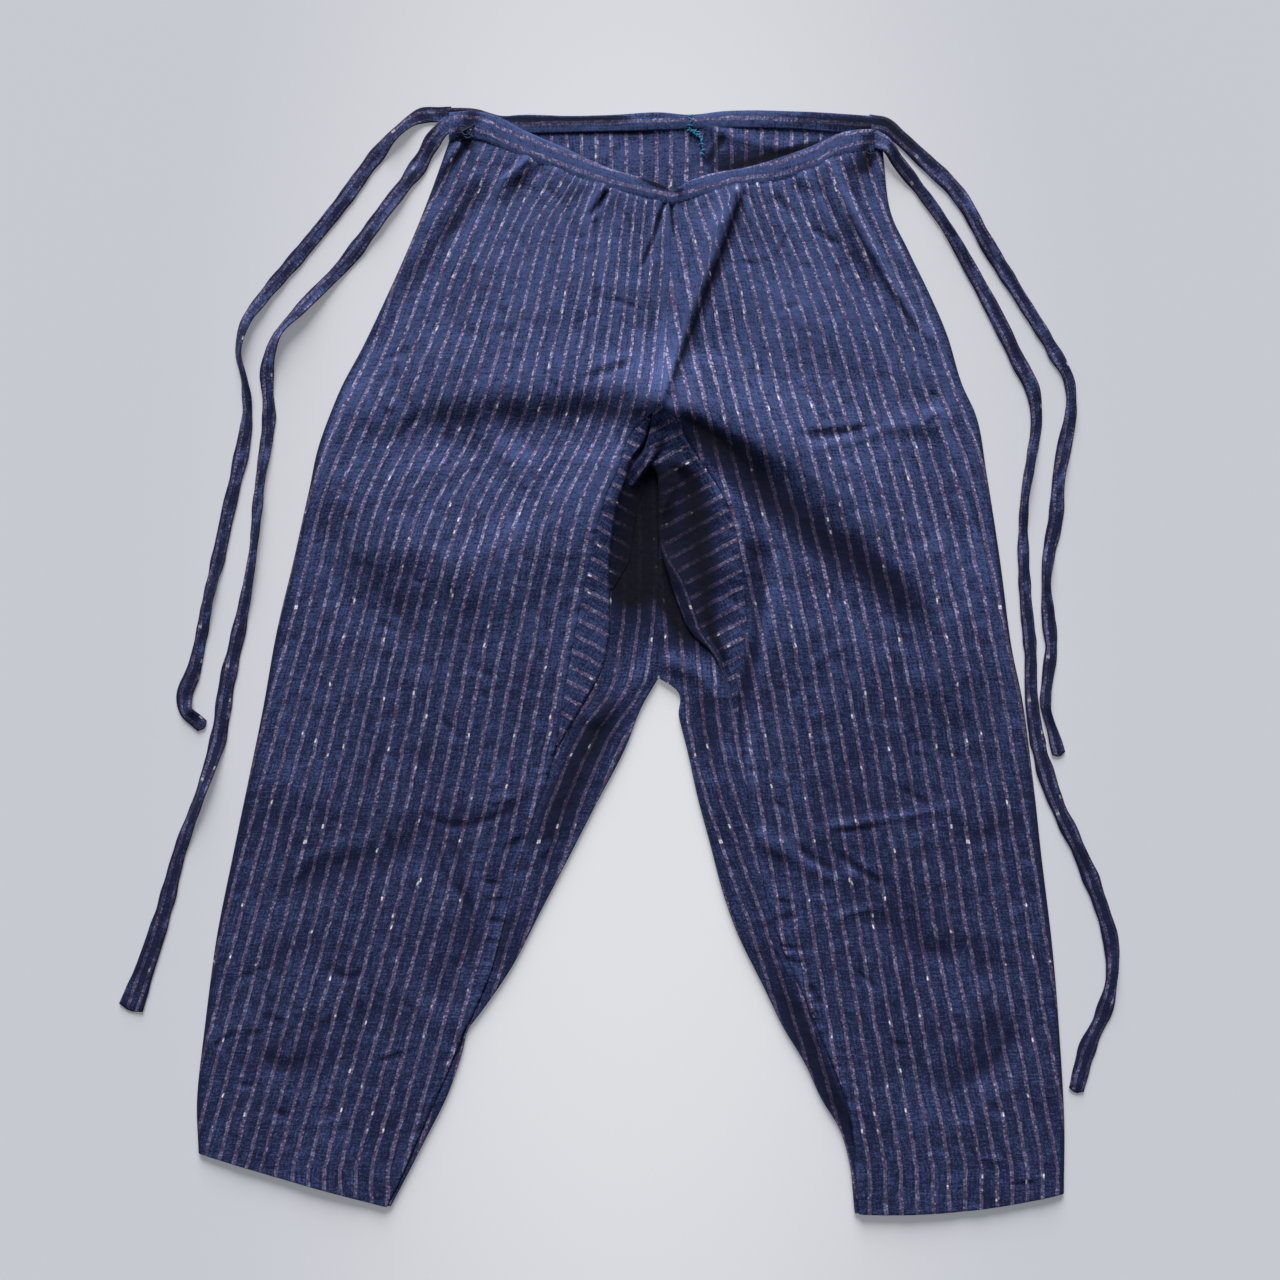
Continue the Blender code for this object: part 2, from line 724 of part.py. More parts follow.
# Across the left gusset from the seam: share of its width, and how far the roll has sunk there
LEFT_GUSSET_SHARES = (0, 0.45, 0.78, 0.94, 1.0, 1.0)
LEFT_GUSSET_SINKS = (0, 0, 0.3, 1.0, 2.2)


def gusset_left(colour):
    """A strip along the left inseam that rolls over and hangs to the floor of the hollow."""
    rows = [y for y in LEFT_ROWS if LEFT_TIP_Y <= y <= LEFT_GUSSET_TOP]
    outer = []
    inner = []
    shares = np.array(LEFT_GUSSET_SHARES)
    sinks = np.array(LEFT_GUSSET_SINKS)
    for y in rows:
        seam = LEFT.seam_x(y) + SEAM_GAP / 2
        width = LEFT.lip_x(y) - seam
        top = upper_z(LEFT, seam + shares[:-1] * width, y, PUFF_REACH)
        drop = top[-1] - CLOTH - FLOOR_GAP - CLOTH
        tops = np.append(top - sinks * min(1, drop / 4), lip_foot(y, top[-1]))
        for share, z in zip(shares, tops):
            outer.append((seam + share * width, y, z))
        inside = np.append(tops[:-1] - CLOTH, tops[-1])
        inside[-2] = max(inside[-2], tops[-1] + 0.2)
        for share, z in zip(shares, inside):
            inner.append((seam + share * (width - CLOTH), y, z))
    quads = faces_of_grid(len(rows), len(shares))
    return wall("gusset_left", np.array(outer), np.array(inner), quads, colour)


def lip_foot(y, top):
    """How low the hanging edge reaches: short at the top of the hollow, down to the back lower on."""
    deep = ease((LEFT_GUSSET_TOP - 12 - y) / 34)
    return (1 - deep) * (top - 4.0) + deep * (CLOTH + FLOOR_GAP)


TONGUE_CREST = smooth([row.y for row in TONGUE], [row.crest_z for row in TONGUE])
TONGUE_HOLLOW = smooth([row.y for row in TONGUE], [row.hollow_z for row in TONGUE])
TONGUE_FOOT = smooth([row.y for row in TONGUE], [row.foot_z for row in TONGUE])


def offset_profile(profile, thickness):
    """The profile moved to its underside by the wall's thickness, mitred at its bends."""
    steps = np.diff(profile, axis=0)
    steps = steps / np.maximum(np.hypot(*steps.T), 1e-6)[:, None]
    normals = np.column_stack([-steps[:, 1], steps[:, 0]])
    before = np.vstack([normals[:1], normals])
    after = np.vstack([normals, normals[-1:]])
    mean = before + after
    mean = mean / np.hypot(*mean.T)[:, None]
    stretch = np.clip(1 / np.maximum((mean * before).sum(axis=1), 0.1), 1, 1.25)
    return profile + mean * (thickness * stretch)[:, None]


def gusset_right(colour):
    """A strip along the right inseam that rolls into the hollow and ends in the tongue-like fold."""
    rows = [y for y in RIGHT_ROWS if RIGHT_TIP_Y <= y <= RIGHT_GUSSET_TOP]
    outer = []
    inner = []
    for y in rows:
        seam = float(RIGHT.seam_x(y)) - SEAM_GAP / 2
        edge = float(min(TONGUE_X(y), seam - LEAST_GUSSET))
        lip = float(np.clip(RIGHT.lip_x(y), edge + 0.45 * (seam - edge), seam - 0.2 * (seam - edge)))
        gap = lip - edge
        lip_z = float(upper_z(RIGHT, lip, y, PUFF_REACH))
        seam_z = float(upper_z(RIGHT, seam, y, PUFF_REACH))
        crest = min(float(TONGUE_CREST(y)), lip_z)
        hollow = min(float(TONGUE_HOLLOW(y)), crest)
        foot = min(float(TONGUE_FOOT(y)), crest - CLOTH - 0.5)
        profile = np.array(
            [
                (seam, seam_z),
                (0.5 * (seam + lip), 0.5 * (seam_z + lip_z)),
                (lip, lip_z - 0.4),
                (lip - 0.16 * gap, 0.45 * lip_z + 0.55 * hollow),
                (lip - 0.36 * gap, hollow + 0.06 * (lip_z - hollow)),
                (lip - 0.60 * gap, hollow),
                (edge + 0.18 * gap, crest),
                (edge + 0.03 * gap, crest - 0.35 * min(1.6, crest - foot)),
                (edge, foot),
            ]
        )
        under = offset_profile(profile, CLOTH)
        under[0] = (seam, seam_z - CLOTH)
        under[-1] = (edge + min(CLOTH, 0.6 * (seam - edge)), foot)
        under[-2, 0] = max(under[-2, 0], under[-1, 0])
        for x, z in profile:
            outer.append((x, y, z))
        for x, z in under:
            inner.append((x, y, max(z, CLOTH + FLOOR_GAP - 0.05)))
    quads = faces_of_grid(len(rows), len(profile))
    return wall("gusset_right", np.array(outer), np.array(inner), quads, colour)


def lipped_left(y):
    """The left flap's outer end: 0.3 beyond the gusset's edge, or beside the front's seam below its tip."""
    if y >= LEFT_TIP_Y:
        return float(LEFT.lip_x(y)) + SEAM_GAP
    return float(LEFT.seam_x(y)) + SEAM_GAP / 2


def lipped_right(y):
    if y >= RIGHT_TIP_Y:
        return float(min(TONGUE_X(y), RIGHT.seam_x(y) - SEAM_GAP / 2 - LEAST_GUSSET)) - SEAM_GAP
    return float(RIGHT.seam_x(y)) - SEAM_GAP / 2


def middle_left(y):
    """The left flap's edge at the middle of the hollow, clear of the tongue."""
    return float(min(CENTRE_BACK_X(APEX_Y) - SEAM_GAP / 2, TONGUE_X(y) - SEAM_GAP - 0.15))


def middle_right(y):
    return float(CENTRE_BACK_X(APEX_Y)) + SEAM_GAP / 2


# Across a band: share of its width, and how far its rounded edge has sunk there
BAND_SHARES = (0.0, 0.06, 0.5, 0.94, 1.0)
BAND_SINKS = (0.9, 0.15, 0.0, 0.15, 0.9)


def band_solid(name, stations, low, high, under, top, colour):
    """A flat strip: two long edges by station, an underside and a top, with its long edges rounded."""
    outer = []
    inner = []
    for x, y0, y1, z0, z1 in zip(stations, low, high, under, top):
        for share, sink in zip(BAND_SHARES, BAND_SINKS):
            y = y0 + share * (y1 - y0)
            outer.append((x, y, z1 - sink))
            inner.append((x, y, z0))
    quads = faces_of_grid(len(stations), len(BAND_SHARES))
    return wall(name, np.array(outer), np.array(inner), quads, colour)


# Beyond these places the front band climbs onto the back band
BAND_LIFT_LEFT = -60
BAND_LIFT_RIGHT = 146
FRONT_BAND_STEPS = 37


def front_band(colour):
    """The front waistband: it follows the two fronts' top edges and lies over the back band at its ends."""
    top_line = edge_of(FRONT_BAND_TOP)
    marks = [edge.x for edge in FRONT_BAND_TOP]
    stations = np.unique(np.concatenate([np.linspace(marks[0], marks[-1], FRONT_BAND_STEPS), marks]))
    waist = np.where(stations < CENTRE_FRONT[0].x, LEFT.waist_y(stations), RIGHT.waist_y(stations))
    low = waist + 2 * SEAM_GAP
    high = top_line(stations)
    over = np.maximum(ease((BAND_LIFT_LEFT - stations) / 24), ease((stations - BAND_LIFT_RIGHT) / 26))
    under = FRONT_BAND_LOW + (FRONT_BAND_OVER_BACK - FRONT_BAND_LOW) * over
    return band_solid("front_band", stations, low, high, under, under + BAND_THICK, colour)


def back_band(colour):
    """The back waistband, flat on the surface beyond the backs' top edges."""
    stations = np.array([strip.x for strip in BACK_BAND], float)
    low = np.array([strip.low_y for strip in BACK_BAND], float)
    high = np.array([strip.high_y for strip in BACK_BAND], float)
    low = np.maximum(low, BACK_TOP_Y(stations) + 2 * SEAM_GAP)
    flat = np.zeros(len(stations))
    return band_solid("back_band", stations, low, high, flat, flat + BAND_THICK, colour)


def tie(name, table, colour):
    """A flat tape along its route. Where it rolls on its side it looks narrower and stands higher."""
    steps = np.hypot(np.diff([row.x for row in table]), np.diff([row.y for row in table]))
    walked = np.concatenate([[0], np.cumsum(steps)])
    columns = [smooth(walked, [getattr(row, key) for row in table]) for key in Tape._fields]
    places = np.linspace(0, walked[-1], 2 + int(walked[-1] / TIE_SPACING))
    x, y, width, roll, lift = (column(places) for column in columns)
    way = np.column_stack([np.gradient(x), np.gradient(y)])
    way[0] = (np.sign(x[0]), 0)
    way = way / np.hypot(*way.T)[:, None]
    outer = []
    inner = []
    for i in range(len(places)):
        turn = np.radians(max(roll[i], 0))
        across = np.array([-way[i, 1], way[i, 0], 0]) * np.cos(turn) + np.array([0, 0, np.sin(turn)])
        face = np.cross(np.array([*way[i], 0]), across)
        half = 0.5 * width[i]
        raise_by = half * np.sin(turn) + 0.5 * TIE_THICK * np.cos(turn) + max(lift[i], 0)
        middle = np.array([x[i], y[i], raise_by])
        for share, swell in ((-1, 0.6), (0, 1.0), (1, 0.6)):
            outer.append(middle + share * half * across + 0.5 * swell * TIE_THICK * face)
            inner.append(middle + share * half * across - 0.5 * TIE_THICK * face)
    return wall(name, np.array(outer), np.array(inner), faces_of_grid(len(places), 3), colour)


INDIGO = (0.035, 0.062, 0.145)
INDIGO_DARK = (0.020, 0.028, 0.075)
INDIGO_BAND = (0.030, 0.050, 0.125)


def build():
    front_panel("front_left", LEFT, LEFT_ROWS, INDIGO)
    front_panel("front_right", RIGHT, RIGHT_ROWS, INDIGO)
    back_panel("back_left", LEFT, LEFT_ROWS, LEFT_FLAP_TOP, middle_left, lipped_left, INDIGO_DARK)
    back_panel("back_right", RIGHT, RIGHT_ROWS, RIGHT_FLAP_TOP, middle_right, lipped_right, INDIGO_DARK)
    gusset_left(INDIGO)
    gusset_right(INDIGO)
    front_band(INDIGO_BAND)
    back_band(INDIGO_DARK)
    tie("tie_front_left", TIE_FRONT_LEFT, INDIGO_BAND)
    tie("tie_front_right", TIE_FRONT_RIGHT, INDIGO_BAND)
    tie("tie_back_left", TIE_BACK_LEFT, INDIGO_DARK)
    tie("tie_back_right", TIE_BACK_RIGHT, INDIGO_DARK)


for old in list(bpy.data.objects):
    bpy.data.objects.remove(old, do_unlink=True)
build()
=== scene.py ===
"""The looks of the monpe trousers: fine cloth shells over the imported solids, their weave, stitches and light.

The tables and curves are those of the model, in its millimetres. Points turn into metres in to_metres().
Left and right are as seen from above with the waist away, as in the model.
"""

from collections import namedtuple

import bpy
import numpy as np
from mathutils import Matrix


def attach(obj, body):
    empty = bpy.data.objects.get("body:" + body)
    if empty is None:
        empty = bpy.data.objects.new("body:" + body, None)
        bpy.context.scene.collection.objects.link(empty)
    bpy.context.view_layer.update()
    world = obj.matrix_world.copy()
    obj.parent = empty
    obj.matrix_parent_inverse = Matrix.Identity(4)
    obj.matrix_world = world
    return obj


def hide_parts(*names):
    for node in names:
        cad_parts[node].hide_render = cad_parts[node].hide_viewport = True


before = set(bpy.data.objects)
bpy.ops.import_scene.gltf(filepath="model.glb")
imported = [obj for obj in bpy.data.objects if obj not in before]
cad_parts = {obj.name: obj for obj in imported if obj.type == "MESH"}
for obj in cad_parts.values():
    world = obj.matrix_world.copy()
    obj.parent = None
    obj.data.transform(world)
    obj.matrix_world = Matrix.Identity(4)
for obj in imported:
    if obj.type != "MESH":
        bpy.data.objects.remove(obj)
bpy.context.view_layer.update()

METRES = 0.001
# The middle of the trousers, in the measures that the tables use
MIDDLE = np.array([0.5, 2.7, 0.0])

# The solids' own measures: thickness, heights, least widths, and the reaches of their rises
CLOTH = 1.4
BASE_TOP = 3.6
BACK_INSET = 2.0
PUFF = 1.6
PUFF_REACH = 45.0
LEAST_WRAP = 3.5
LEAST_GUSSET = 2.6
RELIEF_FADE = 26.0
EDGE_BEND = 60.0
LEFT_HEM_ROUND = 1.0
RIGHT_HEM_ROUND = 6.0
WRAP_RISE = 40.0
TIP_STEP = 2.5
SHARED_RISE = 0.35
APEX_Y = -12
LEFT_GUSSET_TOP = 202
LEFT_TIP_Y = -68
RIGHT_TIP_Y = -45
LEFT_FLAP_TOP = 172
RIGHT_FLAP_TOP = 88

# The shells: steps and counts of their meshes, the flat back's height, and the half height of a rolled edge
STEP = 1.9
BACK_STEP = 3.0
FRONT_WIDTH = 290
BACK_COLUMNS = 90
WRAP_COLUMNS = 40
FLAT_Z = 0.6
EDGE_ROLL = 1.8
# Painted shade, darker towards the rolled outer edge, a value a column of the grid
EDGE_SHADE = np.array([0.9, 0.9, 0.9, 0.9, 0.8, 0.7, 0.5, 0.28, 0.12])
HEM_DEPTH = 23.0
HEM_DROP = 1.1
WAIST_FADE = 34.0
# The left leg's folds are softened by this much, up and down
SOFTEN = 8.0
# The creases stand a little higher here than in the solids' coarse cloth
CREASE_RISE = 1.7
CREASE_TAPER = 0.4
SHADE_TAPER = 0.25
SEAM_GROOVE = 2.2
# The cloth is paler towards the top, from the knees up to the hips
PALER_UPWARD = (-190.0, 325.0)

# Stripes: the space between two, how many lie between two guides, and the lean of those on the gussets
STRIPE_PITCH = 12.6
STRIPES_A_GUIDE = 4.2
GUSSET_SLANT = np.radians(28)
TONGUE_STRIPES_TOP = 104.0
TONGUE_COLUMN = 33

# Bands and tapes
BAND_THICK = 2.4
FRONT_BAND_LOW = 1.8
FRONT_BAND_OVER_BACK = 2.8
BAND_LIFT_LEFT = -60
BAND_LIFT_RIGHT = 146
BAND_STRIPE_SHIFT = 2.0
BAND_STEP = 1.5
TIE_THICK = 2.0
TIE_INSIDE = 4.0
TIE_STEP = 2.6
TAPE_STRIPE_SHIFT = 3.0
RING = 25

CAMERA_CENTRE = (8.4, 20.0)
CAMERA_LENS = 50.0
CAMERA_SENSOR = 36.0
VIEW_WIDTH = 1.0752
KEY_ENERGY = 6.9
KEY_SPREAD = 36.0
KEY_HEIGHT = 20.0
KEY_TURN = 3.0
KEY_COLOUR = (1.0, 0.985, 0.965)
SKY_COLOUR = (0.84, 0.88, 1.0, 1.0)
SKY_STRENGTH = 0.17
FLOOR_SIZE = 6.0
FLOOR_Z = -0.0002
# Painted pool of light: the floor is paler near the middle, in an oval
FLOOR_STRETCH = (1.45, 0.55, 1.0)
FLOOR_COLOUR = (0.585, 0.592, 0.612, 1.0)
FLOOR_FAR = (0.452, 0.462, 0.502, 1.0)
# The floor glows with its own colour: painted light that lifts the shadows on it
FLOOR_GLOW = 0.37

INDIGO_DARK = (0.0080, 0.0115, 0.0430, 1.0)
INDIGO_LIGHT = (0.0590, 0.0900, 0.2340, 1.0)
# The colour of the deepest painted shade, in the hollow and deep creases
PAINTED_SHADE_DARK = (0.0026, 0.0030, 0.0080, 1.0)
MAUVE = (0.175, 0.135, 0.270, 1.0)
MAROON = (0.110, 0.044, 0.090, 1.0)
YARN_DARK = (0.030, 0.024, 0.062, 1.0)
YARN_PALE = (0.450, 0.430, 0.640, 1.0)
SLUB_WHITE = (0.850, 0.830, 0.860, 1.0)
SHEEN_TINT = (0.62, 0.72, 1.0, 1.0)
TURQUOISE = (0.030, 0.270, 0.470, 1.0)
NAVY_THREAD = (0.020, 0.030, 0.080, 1.0)
SLUB_CELL = 30.0
THREAD_PITCH = 0.8

# Width, length and flat area of the cloth that shows of each piece, in metres
FRONT_CUTS = [(0.41, 0.93, 0.215), (0.36, 0.93, 0.205)]
BACK_CUTS = [(0.44, 0.94, 0.265), (0.38, 0.94, 0.24)]
GUSSET_CUTS = [(0.04, 0.29, 0.0074), (0.09, 0.29, 0.0129)]
BAND_CUTS = [(0.041, 0.375), (0.032, 0.36)]


def table(columns, *rows):
    """Rows of numbers under named columns. Numbers left out at the end of a row are 0."""
    row_type = namedtuple("Row", columns, defaults=[0] * len(columns.split()))
    return [row_type(*row) for row in rows]


Fold = namedtuple("Fold", "path rise_start rise_end steep gentle")


def folds(*rows):
    """Each row has a path, the rises at its start and end, and the reaches on its right and on its left.

    A single reach stands for both sides. A rise below zero is a trough.
    """
    return [Fold(*row) if len(row) == 5 else Fold(*row, row[-1]) for row in rows]


GUIDES = "y a b c d e f"


def even_guides(*rows):
    """Guide lines that lie evenly: each row has its height, the first line's place and the step between."""
    return table(GUIDES, *((y, *(first + step * k for k in range(6))) for y, first, step in rows))


# Each row across a leg: where it leaves the outer edge, and the height at which it meets the inner seam
LEFT_SECTIONS = table(
    "inner_y outer_x outer_y",
    (386, -152, 440), (356, -167, 398), (318, -185, 353), (280, -206, 306), (247, -225, 266),
    (215, -244, 230), (188, -259, 192), (140, -270, 146), (87, -283, 87), (28, -297, 28), (-35, -309, -39),
    (-98, -321, -98), (-161, -334, -161), (-232, -348, -232), (-303, -358, -308), (-371, -364, -362),
    (-456, -363, -411),
)
RIGHT_SECTIONS = table(
    "inner_y outer_x outer_y",
    (386, 213, 429), (356, 218, 385), (318, 234, 348), (280, 252, 311), (247, 267, 276), (215, 279, 236),
    (188, 291, 209), (144, 300, 160), (100, 310, 96), (33, 320, 20), (-45, 332, -43), (-86, 339, -98),
    (-156, 346, -161), (-233, 355, -236), (-315, 361, -308), (-375, 365, -375), (-462, 365, -445),
)
# Lines that run down the garment
CENTRE_FRONT = table("y x", (386, 35), (356, 34.5), (318, 33), (280, 31), (247, 28.5), (215, 25))
LEFT_INSEAM = table(
    "y x",
    (208, 17), (196, 4), (179, -5), (164, -9), (142, -19), (115, -27), (87, -33), (60, -39), (20, -47),
    (-24, -55), (-68, -62), (-98, -70), (-143, -86), (-202, -102), (-269, -121), (-301, -135), (-460, -205),
)
RIGHT_INSEAM = table(
    "y x",
    (206, 36), (186, 48), (168, 60), (144, 76), (129, 83), (93, 92), (60, 96), (20, 97), (-13, 91), (-45, 92),
    (-87, 97), (-114, 100), (-186, 112), (-233, 126), (-277, 145), (-315, 161), (-365, 181), (-466, 192),
)
LEFT_FOLD = table(
    "y x",
    (-12, 24), (-34, 11), (-71, -4), (-119, -29), (-159, -49.5), (-206, -74), (-261, -103), (-294, -126),
    (-306, -135), (-327, -141), (-364, -154), (-398, -171), (-437, -191), (-456, -201),
)
RIGHT_FOLD = table(
    "y x",
    (-12, 24), (-20, 37), (-44, 41), (-72, 48), (-113, 57), (-150, 67), (-192, 78), (-221, 88), (-275, 114),
    (-305, 128.5), (-336, 147), (-366, 161), (-393, 177), (-413, 183), (-462, 189),
)
CENTRE_BACK = table("y x", (452, 60), (420, 60), (222, 48), (-12, 24))
# The rolled edges of the gussets, over the crotch hollow
LEFT_LIP = table(
    "y x",
    (204, 17), (196, 15), (179, 11.5), (156, -2), (138, -9), (112, -14), (87, -17), (20, -18), (-7, -24),
    (-30, -37), (-68, -59),
)
RIGHT_LIP = table(
    "y x",
    (210, 29), (198, 38), (159, 59), (128, 68), (96, 73), (76, 76), (47, 74), (23, 76), (3, 81), (-30, 87),
    (-45, 89),
)
# The right gusset's inner part, which hangs into the hollow and ends in a fold like a tongue
TONGUE = table(
    "y edge_x crest_z hollow_z foot_z",
    (208, 19, 11.5, 11.5, 8.0), (196, 16, 11.5, 11.0, 8.0), (179, 13, 11.0, 10.0, 7.5),
    (170, 15, 10.5, 9.0, 6.5), (160, 22, 10.0, 7.0, 5.0), (148, 24, 9.5, 6.0, 2.5),
    (129, 24.5, 9.5, 5.5, 1.75), (96, 26, 9.0, 5.0, 1.75), (75, 32, 8.5, 5.0, 1.75), (47, 41, 8.0, 5.0, 1.75),
    (25, 52, 7.0, 5.0, 1.75), (12, 66, 6.0, 5.0, 1.75), (-4, 76, 5.0, 4.6, 1.75), (-30, 84, 4.3, 4.2, 1.75),
    (-45, 88, 3.8, 3.8, 1.75),
)
# The left end of that gusset at the crotch, and its fold that hangs there over the hollow
CROTCH_EDGE = table("y left", (215, 25), (207, 19), (196, 16.8), (186, 14), (169, 7))
CROTCH_FLAP = table(
    "y left right crest",
    (181, 12, 27, 13.8), (174, 8, 23, 14.0), (168, 3, 18.5, 13.4), (162, -1.5, 14, 12.4),
    (157, -4.5, 10, 11.2), (152, -6.5, 6, 10.0), (147.5, -7.5, 1.5, 8.6), (145, -7, -3, 7.6),
)
# Edges that run across the garment
LEFT_WAIST = table("x y", (-152, 440), (-132, 441), (-96, 427), (-54, 411), (-19, 399), (25, 388), (35, 386))
RIGHT_WAIST = table(
    "x y",
    (35, 386), (48, 389), (88, 399), (129, 405), (155, 415), (181, 427), (206, 430), (213, 429),
)
FRONT_BAND_TOP = table(
    "x y",
    (-152, 463), (-132, 464), (-115, 461), (-89, 448), (-54, 433), (-19, 417), (14, 407), (28, 402),
    (36, 397), (45, 403), (59, 409), (102, 418), (155, 436), (181, 447), (206, 449),
)
BACK_BAND = table(
    "x low_y high_y",
    (-154, 450, 468), (-130, 449, 467), (-107, 447, 461), (-92, 447, 462), (-54, 448, 461), (-13, 449, 462),
    (25, 450, 464), (50, 451, 462), (78, 452, 465), (134, 451, 465), (176, 448, 463), (204, 446, 461),
)
BACK_TOP = table("x y", (-148, 446), (-107, 446), (25, 449), (76, 451.5), (148, 449), (209, 444))
# Places that the stripes run through: the same count of stripes lies between each line and the next
LEFT_STRIPES = table(
    GUIDES,
    (440, -131, -84, -34, -16, 11, 39), (406, -146, -100, -52, -24, 6, 38),
    (373, -163, -113, -74, -35, 1, 37), (331, -181, -131, -88, -43, -3, 36),
    (280, -199, -149, -101, -54, -9, 33.5), (205, -231, -176, -123, -71, -24, 21),
    (129, -261, -210, -160, -109, -59, -3), (79, -273, -223, -176, -124, -71, -14),
    (-123, -328, -276, -223, -168, -112, -55), (-425, -409, -357, -305, -249, -193, -136),
)
RIGHT_STRIPES = table(
    GUIDES,
    (430, 185, 139, 97, 59, 25, -10), (381, 202, 154, 109, 69, 28, -14), (331, 223, 174, 128, 82, 33, -13),
    (280, 243, 194, 144, 92, 39, -8), (230, 260, 208, 156, 103, 50, -3), (180, 279, 224, 171, 117, 61, 7),
    (79, 304, 249, 196, 142, 88, 34), (-123, 344, 290, 235, 181, 126, 71),
    (-224, 361, 307, 251, 198, 143, 88), (-425, 398, 344, 290, 233, 177, 122),
)
# The same for the wrap round the inner leg
LEFT_WRAP_STRIPES = even_guides(
    (172, -69, 53), (20, -71, 53), (-20, -80, 54), (-60, -106, 54), (-100, -124, 54), (-200, -156, 54),
    (-460, -230, 54),
)
RIGHT_WRAP_STRIPES = even_guides(
    (172, -30, 53), (20, -20, 53), (-80, -8, 53), (-140, 10, 53), (-240, 44, 53), (-470, 110, 53),
)

# Thread at the waist: the knot by the left corner, the tacks by the right one, and the mend
KNOT = (-137, 446, 8.2)
TACKS = [
    [(201, 433, 7.5), (202, 428, 8), (201, 421, 6.5), (202, 415, 4.5)],
    [(197, 430, 7), (201, 427, 8.4), (206, 429, 7)],
]
MENDS = [
    [(50, 462, 3.4), (51, 456, 3.6), (50, 450, 2.6), (54, 446, 1.9), (59, 443, 1.9)],
    [(48, 449, 2.6), (53, 448, 2), (59, 447, 1.9)],
    [(57, 446, 1.9), (60, 440, 1.9), (61, 434, 1.9), (61, 427, 1.9)],
]

# Raised folds of the upper layer
FOLDS = folds(
    ([(-155, 229), (-76, 226), (-20, 229), (14, 221), (27, 216)], 2.5, 7.5, 20, 62),
    ([(30, 216), (81, 203), (107, 187), (143, 168), (195, 118), (245, 60)], 9, 1, 26, 60),
    ([(25, 217), (2, 197), (-13, 160), (-29, 95), (-45, 25), (-59, -55)], 6.5, 0.6, 58, 40),
    ([(94, -40), (98, 45), (92, 100), (78, 147), (52, 186), (29, 215)], 0.6, 7, 32, 40),
    ([(-86, 421), (-98, 410), (-116, 396)], 3, 1, 8, 14),
    ([(-19, 399), (-36, 380), (-37, 362), (-24, 340)], 4, 0.8, 9, 16),
    ([(26, 388), (19, 350), (10, 312)], 3.5, 0.6, 9, 16),
    ([(32, 233), (48, 284), (64, 332), (78, 379), (88, 399)], 1, 6, 12, 34),
    ([(105, 366), (88, 399)], 0.8, 3, 8, 14),
    ([(180, 352), (149, 410)], 0.8, 3.2, 9, 16),
    ([(252, 274), (227, 308), (207, 343), (186, 379), (168, 419)], 0.8, 4.8, 10, 20),
    ([(-118, 196), (-56, 130)], 3, 1, 18, 26),
    ([(305, 45), (297, 91), (279, 155), (258, 208)], 0.8, 3.4, 12, 18),
    ([(130, 196), (199, 199), (262, 204)], 0.8, 2.8, 12, 24),
    ([(112, -146), (148, -166), (176, -180)], 2.6, 0.8, 12, 18),
    ([(118, -205), (140, -262), (168, -330), (184, -392)], 0.6, 2.6, 14, 40),
    ([(-215, 92), (-168, 34)], 1, 1.8, 16, 22),
)
# Raised places at the foot of the crotch hollow
FLOOR_FOLDS = folds(
    ([(-28, -44), (-2, -22), (14, 2)], 2.4, 1, 14, 16),
    ([(36, 2), (56, -6), (72, -24)], 3, 1.6, 12, 18),
)
# Folds of the back's inside, between the two bands
INSIDE_FOLDS = folds(
    ([(64, 452), (92, 442), (120, 436), (150, 434)], 2, 0.8, 7, 14),
    ([(-122, 446), (-100, 440), (-84, 436)], 1.6, 0.8, 5, 8),
)
